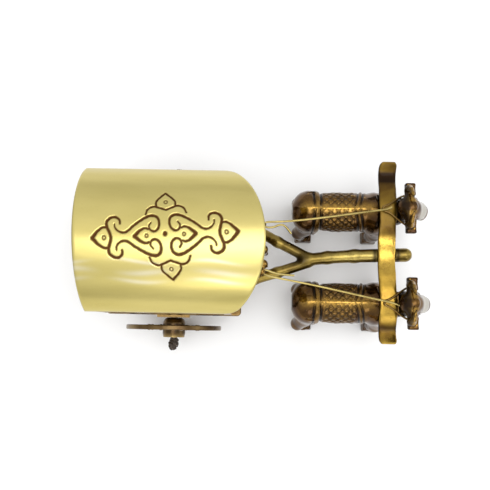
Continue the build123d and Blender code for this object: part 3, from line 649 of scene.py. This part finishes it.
def bullockLegs(clay, plan, rightStance):
    for out in (-1, 1):
        stance = plan["leftStance"] if out > 0 else rightStance
        fore, hind = plan["foreFoot"], plan["hindFoot"]
        limb(clay, [(fore + 0.6, out * 9.2, 37), (fore + 1.2, out * stance, 22),
                    (fore + 0.8, out * stance, 17), (fore - 0.2, out * stance, 7)],
             [7.6, 5.2, 5.4, 4.4], 2.0)
        limb(clay, [(hind + 1.5, out * 9.0, 36), (hind - 5.2, out * stance, 21),
                    (hind - 3.6, out * stance, 15), (hind - 0.6, out * stance, 7)],
             [7.8, 4.9, 4.4, 4.2], 2.0)
        for foot, length in ((fore, 5.9), (hind, 6.6)):
            block(clay, (foot + 0.4, out * stance, 3.7), (length, 4.7, 3.7), 1.5, 1.2, taper=0.10)
            limb(clay, [(foot + 3, out * stance, 0.5), (foot + 7.5, out * stance, 6.5)],
                 [0.55, 0.5], 0.4, cut=True)
            ring(clay, (foot, out * stance, 8.2), (0, 0, 1), 4.6, 0.55, 0.8)


def bullockNeck(clay, plan):
    skullX, skullZ = plan["skull"]
    limb(clay, [(80, 0, 46.0), (89, 0, 45.0), (97.0, 0, 46.0)], [13.2, 9.5, 8.8], 3)
    egg(clay, (93.5, 0, 36.5), (8.0, 2.4, 8.5), 3, tilt=-20)
    limb(clay, [(97.0, 0, 46.0), (100.2, 0, 55.0), (skullX - 1, 0, skullZ - 2)],
         [8.8, 8.4, 8.0], 2.0, wide=1.06)
    for lift in (0.0, 3.2, 6.4):
        ring(clay, (98.9 + lift * 0.36, 0, 52.0 + lift), (0.36, 0, 0.93), 9.1, 0.65, 0.4,
             cut=True)


def bullockHead(clay, plan):
    skullX, skullZ = plan["skull"]
    egg(clay, (skullX, 0, skullZ), (6.4, 9.0, 7.4), 1.5)
    limb(clay, [(skullX + 2.4, 0, skullZ - 2.6), (skullX + 8.4, 0, skullZ - 9.6),
                (skullX + 12.2, 0, skullZ - 15.2)], [7.0, 6.5, 5.4], 2.0)
    egg(clay, (skullX + 12.8, 0, skullZ - 16.6), (5.3, 6.1, 4.4), 1.2, tilt=38)
    # muzzle band, mouth, nostrils
    ring(clay, (skullX + 11.2, 0, skullZ - 13.6), (0.62, 0, -0.78), 6.0, 0.5, 0.5)
    limb(clay, [(skullX + 16.8, -5.5, skullZ - 18.8), (skullX + 18.2, 0, skullZ - 18.2),
                (skullX + 16.8, 5.5, skullZ - 18.8)], [0.5, 0.6, 0.5], 0.4, cut=True)
    for out in (-1, 1):
        limb(clay, [(skullX + 17.0, out * 2.2, skullZ - 14.0),
                    (skullX + 17.8, out * 3.2, skullZ - 15.2)], [0.8, 0.6], 0.4, cut=True)
        # brow, eye, cheek
        egg(clay, (skullX + 4.0, out * 6.3, skullZ - 1.2), (2.6, 1.8, 2.2), 1.0, tilt=40)
        egg(clay, (skullX + 4.8, out * 7.3, skullZ - 3.2), (1.5, 1.2, 1.2), 0.25)
        ring(clay, (skullX + 4.8, out * 7.3, skullZ - 3.2), (0.2, 1, 0), 1.9, 0.35, 0.3)
        egg(clay, (skullX + 2.4, out * 5.2, skullZ - 8.0), (4.6, 2.9, 4.4), 1.6, tilt=30)
        # ear: a broad stub turned out, hollowed in front
        block(clay, (skullX + 1.2, out * 14.0, skullZ - 2.0), (3.8, 4.8, 2.5), 1.2, 1.6)
        egg(clay, (skullX + 4.8, out * 14.4, skullZ - 1.4), (1.7, 3.2, 1.3), 0.5, cut=True)
        # horn: rises from a cuff over the ear and curls in over the brow
        ring(clay, (skullX - 0.7, out * 13.5, skullZ + 1.9), (0, 0.1 * out, 1), 2.4, 0.7, 0.5)
        limb(clay, [(skullX - 0.6, out * 13.6, skullZ + 0.4), (skullX - 1.0, out * 13.4, skullZ + 4.4),
                    (skullX - 1.1, out * 11.4, skullZ + 8.4), (skullX - 0.8, out * 8.4, skullZ + 11.2),
                    (skullX - 0.4, out * 5.6, skullZ + 13.0)], [2.9, 2.6, 2.1, 1.5, 0.6], 0.5)
        limb(clay, [(skullX - 0.6, out * 6.0, skullZ + 2.5), (skullX - 0.4, out * 12, skullZ + 0.2)],
             [3.4, 3.1], 1.6)
    egg(clay, (skullX + 1.5, 0, skullZ + 5.8), (2.6, 3.2, 1.8), 1.4)


def bullockTail(clay, plan, side):
    rump = plan["rump"]
    limb(clay, [(rump + 5.0, 0, 57.0), (rump + 1.3, side * 1.5, 51.0), (rump + 0.9, side * 5.0, 44.5),
                (rump + 2.6, side * 9.4, 42.0), (rump + 6.0, side * 13.0, 45.0),
                (rump + 10.5, side * 13.6, 50.0)], [1.9, 1.6, 1.5, 1.5, 1.4, 1.3], 0.7)
    egg(clay, (rump + 13.4, side * 12.4, 52.4), (3.6, 1.9, 2.4), 0.6, tilt=-30)
    limb(clay, [(rump + 9.0, side * 11.6, 53.5), (rump + 13.5, side * 13.4, 55.6)],
         [0.7, 0.6], 0.5, cut=True)


def makeBullock(name, middle, tailSide, rightStance):
    plan = bullockPlan
    clay = clayBlock((18.6, -21.2, -0.6), (122.6, 19.8, 80.0), plan["grain"])
    clay["lazy"] = 0.012
    bullockBody(clay, plan)
    bullockLegs(clay, plan, rightStance)
    bullockNeck(clay, plan)
    carveRelief(clay, bullockRelief)
    bullockTail(clay, plan, tailSide)
    bullockHead(clay, plan)
    # the yoke's seat across the neck, and flat soles
    block(clay, (89.5, 0, 60.0), (7.5, 30, 5.4), 0.2, 0.4, cut=True)
    for out in (-1, 1):
        block(clay, (89.5, out * 17, 57.4), (7.5, 10, 5.0), 0.2, 0.6, cut=True)
    block(clay, (60, 0, -3.0), (80, 40, 3.05), 0.05, 0.3, cut=True)
    piece = fireClay(name, clay, (0, middle, 0), bullockMarks)
    return piece


for side in ("left", "right"):
    tailSide, rightStance = (1, 13.0) if side == "left" else (-1, 15.5)
    figure = makeBullock(side + "_bullock_casting", pairMiddle[side], tailSide, rightStance)
    fit(figure, "cart", "antique_brass", castBrass, side + "_bullock")


# drawbar: a forked casting, its crotch filled and rounded
drawbarPlan = {"grain": 0.5, "armRadius": 4.1, "armSpread": 24.2, "armHeight": 38.95,
               "rear": -55.9, "fork": (31.0, -4.8), "tipX": 109.1, "tipHeight": 47.6,
               "bedFront": -18.9, "boltPlaces": (-27.9, -47.9), "yokeSeat": (89.1, 0, 56.2)}


def poleHeight(x):
    plan = drawbarPlan
    rise = (plan["tipHeight"] - plan["armHeight"]) / (plan["tipX"] - plan["bedFront"])
    return plan["armHeight"] + (x - plan["bedFront"]) * rise


def makeDrawbar():
    plan = drawbarPlan
    clay = clayBlock((-57, -31, 33), (110, 31, 53), plan["grain"])
    forkX, forkY = plan["fork"]
    armWay = [(-26.0, 24.2), (-19.0, 23.2), (-9.5, 19.4), (8.0, 11.8), (forkX, 2.0)]
    for out in (-1, 1):
        path = [(plan["rear"] + 3, out * plan["armSpread"], plan["armHeight"])]
        path += [(x, out * spread + forkY * step(-20, forkX, x), max(plan["armHeight"], poleHeight(x)))
                 for x, spread in armWay]
        limb(clay, path, [plan["armRadius"]] * 5 + [4.0], 2.0)
    limb(clay, [(forkX - 3, forkY, poleHeight(forkX)), (46, -2.6, poleHeight(46)),
                (66, -1.2, poleHeight(66)),
                (plan["tipX"] - 5.2, 0, poleHeight(plan["tipX"] - 5))],
         [4.7, 4.7, 4.9, 5.2], 2.4)
    block(clay, (plan["tipX"] + 5, 0, plan["tipHeight"]), (5.0, 12, 12), 0.2, 1.2, cut=True)
    # flats against the bed and for the nuts, and the yoke's seat
    block(clay, (-40, 0, 48.55), (25, 60, 6.0), 0.1, 0.3, cut=True)
    block(clay, plan["yokeSeat"], (6.8, 12, 5.5), 0.1, 0.3, cut=True)
    for x in plan["boltPlaces"]:
        for out in (-1, 1):
            block(clay, (x, out * plan["armSpread"], 33.85), (4.0, 4.0, 2.0), 0.3, 0.2, cut=True)
    return fireClay("drawbar_casting", clay, (0, 0, 0), barMarks)


def barMarks(points):
    x, y, z = points[:, 0], points[:, 1], points[:, 2]
    # the fork's crotch is darker; painted shade beside the yoke's seat and on the underside; painted
    # highlight along the top of the pole
    crotch = bell(np.hypot(x - 24.5, (y + 4.8) * 1.4), 6.5)
    seat = bell(x - 80.6, 1.6) + bell(x - 97.6, 1.6)
    under = step(1.5, -2.5, z - poleHeight(x))
    return {"grime": np.clip(0.95 * crotch + 0.8 * seat + 0.25 * under, 0, 1),
            "worn": 0.55 * step(36, 60, x) * step(100, 90, x) * step(0.5, 4, z - poleHeight(x))}


fit(makeDrawbar(), "cart", "antique_brass", barBrass, "drawbar")


# yoke: a flat bar in waves, soft edged, its ends turned up
yokePlan = {"x": 89.1, "halfWidth": 6.6, "thick": 4.0, "top": 54.8, "half": 68.0,
            "middle": 1.6, "stations": 260, "round": 40}
yokeCrest = [(0, 0.0), (8.5, 0.0), (19.0, 2.7), (33.8, 4.5), (45.8, 2.5), (53.8, -0.6),
             (61.5, -1.2), (68.0, 2.6)]


def makeYoke():
    plan = yokePlan
    half = throughPoints([(reach, rise) for reach, rise in yokeCrest], 20)
    line = np.concatenate([half[::-1] * (-1, 1), half[1:]])
    reachAlong = np.linspace(-plan["half"], plan["half"], plan["stations"])
    rise = np.interp(reachAlong, line[:, 0], line[:, 1]) + plan["top"]
    points, marks = [], {"grime": [], "worn": []}
    for y, top in zip(reachAlong, rise):
        endGap = plan["half"] - abs(y)
        trim = 1 - 0.16 * math.exp(-(endGap / 1.5) ** 2) - 0.10 * math.exp(-(endGap / 0.5) ** 2)
        wide = plan["halfWidth"] * trim * (1 - 0.045 * math.exp(-((abs(y) - 24) / 7) ** 2)
                                           + 0.02 * math.sin(y * 0.23))
        deep = plan["thick"] / 2 * (1 - 0.25 * math.exp(-(endGap / 0.7) ** 2))
        drift = 0.25 * math.sin(y * 0.11 + 0.6)
        for turn in np.arange(plan["round"]) / plan["round"] * 2 * math.pi:
            cosTurn, sinTurn = math.cos(turn), math.sin(turn)
            across = math.copysign(abs(cosTurn) ** 0.42, cosTurn) * wide
            height = math.copysign(abs(sinTurn) ** 0.55, sinTurn) * deep
            hollow = math.exp(-((abs(y) - 56.5) / 3.8) ** 2) * (sinTurn > 0)
            dent = 0.12 * math.sin(across * 0.9 + y * 0.35) * (sinTurn > 0)
            points.append((plan["x"] + drift + 0.013 * y + 0.9 * (y / plan["half"]) ** 2
                           - 0.5 + across * 0.985, y + plan["middle"] + sideShift,
                           top - plan["thick"] / 2 + height - abs(dent) - 0.5 * hollow))
            # painted shade on the underside and side edges, in the dent near each end and over the +y
            # part of the bar; painted highlights at the middle, at the end lips and on the -y arm
            edgeShade = 0.75 * step(0.45, -0.5, sinTurn) + 0.35 * step(0.80, 1.0, abs(cosTurn))
            endHighlight = math.exp(-(endGap / 3.5) ** 2)
            farSideShade = step(9, 14, y) * 0.6
            marks["grime"].append(min(1, 0.9 * hollow + edgeShade + farSideShade))
            marks["worn"].append(min(1, 0.9 * math.exp(-(y / 22) ** 2) + 0.8 * endHighlight
                                     + 0.5 * math.exp(-((y + 45) / 9) ** 2)) * (1 - farSideShade))
    count, rounds = plan["stations"], plan["round"]
    faces = [[s * rounds + r, s * rounds + (r + 1) % rounds, (s + 1) * rounds + (r + 1) % rounds,
              (s + 1) * rounds + r] for s in range(count - 1) for r in range(rounds)]
    faces.append(list(range(rounds))[::-1])
    faces.append([(count - 1) * rounds + r for r in range(rounds)])
    mesh = bpy.data.meshes.new("yoke_bar")
    mesh.from_pydata([tuple(v * mm for v in p) for p in points], [], faces)
    mesh.polygons.foreach_set("use_smooth", [len(f.vertices) == 4 for f in mesh.polygons])
    for name, values in marks.items():
        mesh.attributes.new(name, "FLOAT", "POINT").data.foreach_set(
            "value", np.array(values, np.float32))
    bar = bpy.data.objects.new("yoke_bar", mesh)
    bpy.context.scene.collection.objects.link(bar)
    return bar


fit(makeYoke(), "cart", "antique_brass", yokeBrass, "yoke")
print("cart: yoke shaped")


# axle knobs: rough forged ends
knobPlan = {"x": -69.7, "z": 35.75, "grain": 0.22}


def makeKnob(name, start, length, out):
    plan = knobPlan
    low, high = sorted((start, start + out * length))
    clay = clayBlock((plan["x"] - 5.4, low - 0.4, plan["z"] - 5.4),
                     (plan["x"] + 5.4, high + 0.4, plan["z"] + 5.4), plan["grain"])
    rough = [(0.0, 3.3), (0.25, 3.4), (0.48, 4.2), (0.70, 3.5), (0.92, 1.9)]
    path = [(plan["x"] + 0.5 * math.sin(7 * share), start + out * share * length * 0.93 + out * 0.3,
             plan["z"] + 0.35 * math.cos(5 * share)) for share, _ in rough]
    limb(clay, path, [radius * 0.95 for _, radius in rough], 0.8)
    block(clay, (plan["x"], start - out * 5, plan["z"]), (8, 5, 8), 0.1, 0.1, cut=True)
    block(clay, (plan["x"], start + out * (length + 5), plan["z"]), (8, 5, 8), 0.1, 0.1, cut=True)

    def chips(x, y, z):
        facets = np.sin(x * 2.3 + y * 0.9) * np.sin(z * 2.1 - y * 1.3) + 0.6 * np.sin(y * 2.6 + x)
        cracks = bell(np.abs(np.mod((z + x * 0.7) * 0.62 + 0.3 * np.sin(y), 1) - 0.5) - 0.5, 0.09)
        return 0.32 + 0.26 * facets + 0.45 * cracks

    carveRelief(clay, chips)
    return fireClay(name, clay, (0, 0, 0))


fit(makeKnob("left_knob_forging", 59.9, 6.4, 1), "cart", "dark_iron", darkIron, "left_axle_knob")
fit(makeKnob("right_knob_forging", -65.2, 9.6, -1), "cart", "dark_iron", darkIron,
    "right_axle_knob")
print("cart: knobs forged")

# driver: a seated figure in a turban and a wrapped cloth, reins in both hands
driverPlan = {"grain": 0.34, "middle": -4.2, "hipX": -19.5, "seatTop": 48.05, "seatFront": -6.5,
              "handX": -5.5, "handReach": 17.0, "handZ": 70.05, "headZ": 89.4}


def driverBody(clay, plan):
    hip, mid, seat = plan["hipX"], plan["middle"], plan["seatTop"]
    egg(clay, (hip, mid, seat + 5.6), (8.0, 8.8, 6.6), 2)
    limb(clay, [(hip - 0.3, mid, seat + 8), (hip - 1.0, mid, seat + 18), (hip - 0.8, mid, seat + 26)],
         [6.6, 5.7, 6.3], 2.0, wide=1.12)
    limb(clay, [(hip - 0.9, mid - 7.2, seat + 27.2), (hip - 0.9, mid + 7.2, seat + 27.2)],
         [3.7, 3.7], 2.4)
    for out in (-1, 1):
        egg(clay, (hip + 4.6, mid + out * 3.0, seat + 23.6), (2.6, 3.2, 3.4), 1.6)
        # thigh, knee, shin and foot
        limb(clay, [(hip, mid + out * 5.0, seat + 4.9), (-4.2, mid + out * 5.5, seat + 4.6)],
             [5.0, 3.9], 1.6)
        egg(clay, (-2.7, mid + out * 5.5, seat + 4.2), (3.2, 3.3, 3.5), 1.0)
        limb(clay, [(-3.0, mid + out * 5.2, seat + 1.5), (-3.1, mid + out * 4.7, seat - 4.5),
                    (-3.2, mid + out * 4.7, seat - 10.5)], [3.0, 2.9, 2.1], 0.8)
        limb(clay, [(-3.4, mid + out * 4.7, seat - 12.0), (-0.6, mid + out * 4.8, seat - 12.4)],
             [1.9, 1.7], 0.8)
    ring(clay, (hip - 0.4, mid, seat + 12.6), (0, 0, 1), 6.3, 1.0, 0.8)
    ring(clay, (hip - 0.4, mid, seat + 14.3), (0.08, 0.1, 1), 6.0, 0.8, 0.5)


def driverArms(clay, plan):
    hip, mid, seat = plan["hipX"], plan["middle"], plan["seatTop"]
    for out in (-1, 1):
        hand = np.array([plan["handX"], out * plan["handReach"], plan["handZ"]])
        limb(clay, [(hip - 1, mid + out * 8.0, seat + 27), (hip - 0.4, mid + out * 12.4, seat + 18.6),
                    tuple(hand - (3.4, out * 0.6, 0.6))], [3.3, 2.8, 2.0], 1.0)
        egg(clay, tuple(hand), (2.9, 2.5, 2.7), 0.8)
        for finger in (-1.5, 0.0, 1.5):
            limb(clay, [tuple(hand + (1.0, out * 2.4, finger)), tuple(hand + (2.9, 0, finger)),
                        tuple(hand + (1.2, -out * 2.4, finger))], [0.75, 0.8, 0.7], 0.35)
        ring(clay, tuple(hand - (4.2, out * 0.7, 0.6)), (1, out * 0.2, 0.15), 2.2, 0.55, 0.4)
    # the wire eye beside the right hand
    ring(clay, (-6.9, -18.9, 70.4), (0.1, 0.35, 1), 2.1, 0.65, 0.3)


def driverHead(clay, plan):
    x, mid, z = plan["hipX"] + 0.1, plan["middle"], plan["headZ"]
    limb(clay, [(x - 0.6, mid, z - 13), (x, mid, z - 6)], [3.4, 2.9], 1.4)
    egg(clay, (x, mid, z - 0.2), (5.0, 4.4, 5.9), 1.0)
    egg(clay, (x + 2.8, mid, z - 4.4), (2.0, 2.0, 1.5), 1.0)
    limb(clay, [(x + 4.7, mid, z + 1.2), (x + 5.7, mid, z - 1.2)], [0.55, 0.85], 0.5)
    limb(clay, [(x + 4.5, mid - 1.3, z - 3.2), (x + 4.95, mid, z - 3.1),
                (x + 4.5, mid + 1.3, z - 3.2)], [0.35, 0.5, 0.35], 0.3)
    for out in (-1, 1):
        limb(clay, [(x + 4.5, mid + out * 0.9, z + 1.9), (x + 3.6, mid + out * 3.0, z + 1.8)],
             [0.5, 0.4], 0.5)
        egg(clay, (x + 4.2, mid + out * 1.9, z + 0.6), (0.9, 1.2, 0.7), 0.3, cut=True)
        egg(clay, (x + 3.9, mid + out * 1.9, z + 0.6), (0.7, 0.9, 0.5), 0.1)
        egg(clay, (x - 0.2, mid + out * 4.4, z - 0.6), (1.1, 0.7, 1.7), 0.4)
    # turban: wound bands with a tucked crown
    for lift, radius, thick in ((2.6, 4.5, 1.7), (4.6, 3.7, 1.6)):
        for sway in (-0.22, 0.22):
            ring(clay, (x - 0.4, mid, z + lift), (0.12, sway, 1), radius, thick, 0.25)
    egg(clay, (x - 0.4, mid, z + 5.0), (3.6, 3.6, 2.0), 0.4)


def driverCreases(x, y, z):
    # folds of the cloth over hips and thighs, and the shawl's hem over the chest
    plan = driverPlan
    low = step(plan["seatTop"] + 11.5, plan["seatTop"] + 8, z) * step(plan["seatFront"], -12, x)
    folds = np.sin(x * 1.15 + np.abs(y - plan["middle"]) * 0.55) ** 4
    pleat = step(plan["seatFront"] - 8, -8, x) * step(-3.0, -5.0, x) * step(44, 50, z)
    wrapped = 0.5 * folds * low + 0.35 * pleat * np.sin(x * 2.4) ** 6
    slope = z - plan["seatTop"] - 22 + (y - plan["middle"]) * 0.9
    hem = bell(slope, 0.55) * step(plan["seatTop"] + 15, plan["seatTop"] + 17, z)
    hem = hem * step(plan["seatTop"] + 32, plan["seatTop"] + 30, z)
    return wrapped + 0.45 * hem * step(9.5, 8, np.abs(y - plan["middle"]))


def driverMarks(points):
    x, y, z = points[:, 0], points[:, 1], points[:, 2]
    knee = step(-7, -4, x) * step(46, 50, z) * step(60, 57, z)
    hand = step(-9.5, -7.5, x) * step(64, 66, z)
    return {"grime": np.clip(1.5 * driverCreases(x, y, z), 0, 0.9),
            "worn": np.clip(0.8 * knee + 0.5 * hand + 0.3 * step(88, 94, z), 0, 1)}


def makeDriver(plan):
    clay = clayBlock((-29.0, -21.6, 33.0), (2.6, 20.4, 97.0), plan["grain"])
    driverBody(clay, plan)
    driverArms(clay, plan)
    driverHead(clay, plan)
    carveRelief(clay, driverCreases)
    block(clay, (plan["seatFront"] + 0.2 - 20, 0, plan["seatTop"] - 10), (20, 30, 10), 0.1, 0.1,
          cut=True)
    clay["lazy"] = 0.01
    return fireClay("driver_casting", clay, (0, 0, 0), driverMarks)


fit(makeDriver(driverPlan), "cart", "antique_brass", castBrass, "driver")
print("cart: driver seated")

# finishes of the plain turned, cut and forged pieces
finishes = {"bed_plate": bedBrass, "seat_board": barBrass, "left_side_panel": panelBrass,
            "right_side_panel": panelBrass, "left_axle_bracket": panelBrass,
            "right_axle_bracket": panelBrass, "left_wheel": wheelBrass,
            "right_wheel": wheelBrass}
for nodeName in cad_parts:
    piece = bpy.data.objects[nodeName]
    chosen = finishes.get(nodeName, darkIron)
    for materialSlot in piece.material_slots:
        materialSlot.material = chosen

# floor, light and camera
studio = {"floorSize": 3.0, "floorTone": 0.90, "skyLow": 0.62, "skyHigh": 1.05}
floorMesh = bpy.data.meshes.new("studio_floor")
reach = studio["floorSize"] / 2
floorMesh.from_pydata([(-reach, -reach, 0), (reach, -reach, 0), (reach, reach, 0),
                       (-reach, reach, 0)], [], [(0, 1, 2, 3)])
floor = bpy.data.objects.new("studio_floor", floorMesh)
bpy.context.scene.collection.objects.link(floor)
paper = bpy.data.materials.new("studio paper")
paper.use_nodes = True
paperShader = paper.node_tree.nodes["Principled BSDF"]
paperShader.inputs["Base Color"].default_value = (studio["floorTone"],) * 3 + (1,)
paperShader.inputs["Roughness"].default_value = 0.9
paperShader.inputs["Specular IOR Level"].default_value = 0.1
floorMesh.materials.append(paper)


def softLight(name, place, aim, size, power, tint=(1, 1, 1)):
    lamp = bpy.data.lights.new(name, "AREA")
    lamp.shape = "RECTANGLE"
    lamp.size, lamp.size_y = size
    lamp.energy = power
    lamp.color = tint
    stand = bpy.data.objects.new(name, lamp)
    stand.location = place
    stand.rotation_euler = (Vector(aim) - Vector(place)).to_track_quat("-Z", "Y").to_euler()
    bpy.context.scene.collection.objects.link(stand)


softLight("overhead_softbox", (0.05, -0.10, 1.1), (0, 0, 0), (0.9, 0.55), 4.5)
softLight("side_softbox", (0.15, -0.85, 0.55), (0, 0, 0.03), (0.7, 0.35), 1.6)
softLight("front_softbox", (0.95, 0.1, 0.5), (0, 0, 0.03), (0.4, 0.6), 1.2)

world = bpy.data.worlds.new("studio")
world.use_nodes = True
bpy.context.scene.world = world
backdrop = world.node_tree.nodes["Background"]
where = newNode(world.node_tree, "ShaderNodeTexCoord")
split = newNode(world.node_tree, "ShaderNodeSeparateXYZ")
world.node_tree.links.new(where.outputs["Generated"], split.inputs[0])
glow = remap(world.node_tree, split.outputs["Z"], -0.1, 0.9, studio["skyLow"], studio["skyHigh"])
world.node_tree.links.new(glow, backdrop.inputs["Strength"])
backdrop.inputs["Color"].default_value = (1, 1, 1, 1)

cameraPlan = {"place": (-0.0137, -0.0543, 0.4746), "tilt": 8.28, "pan": 0.43, "roll": 1.12,
              "lens": 41.88, "sensor": 36.0}


def aimCamera(plan):
    tilt, pan, roll = [math.radians(plan[key]) for key in ("tilt", "pan", "roll")]
    down = Vector((0, math.sin(tilt), -math.cos(tilt)))
    up = Vector((0, math.cos(tilt), math.sin(tilt)))
    right = Vector((1, 0, 0))
    right, down = (right * math.cos(pan) + down * math.sin(pan),
                   down * math.cos(pan) - right * math.sin(pan))
    right, up = (right * math.cos(roll) + up * math.sin(roll),
                 up * math.cos(roll) - right * math.sin(roll))
    lens = bpy.data.cameras.new("camera_stand")
    lens.lens, lens.sensor_width = plan["lens"], plan["sensor"]
    lens.clip_start = 0.01
    stand = bpy.data.objects.new("camera_stand", lens)
    bpy.context.scene.collection.objects.link(stand)
    back = -down
    rows = [(right[i], up[i], back[i], plan["place"][i]) for i in range(3)]
    stand.matrix_world = Matrix(rows + [(0, 0, 0, 1)])
    bpy.context.scene.camera = stand


aimCamera(cameraPlan)
bpy.context.scene.view_settings.view_transform = "Standard"
bpy.context.scene.view_settings.look = "None"
print("cart: studio ready")
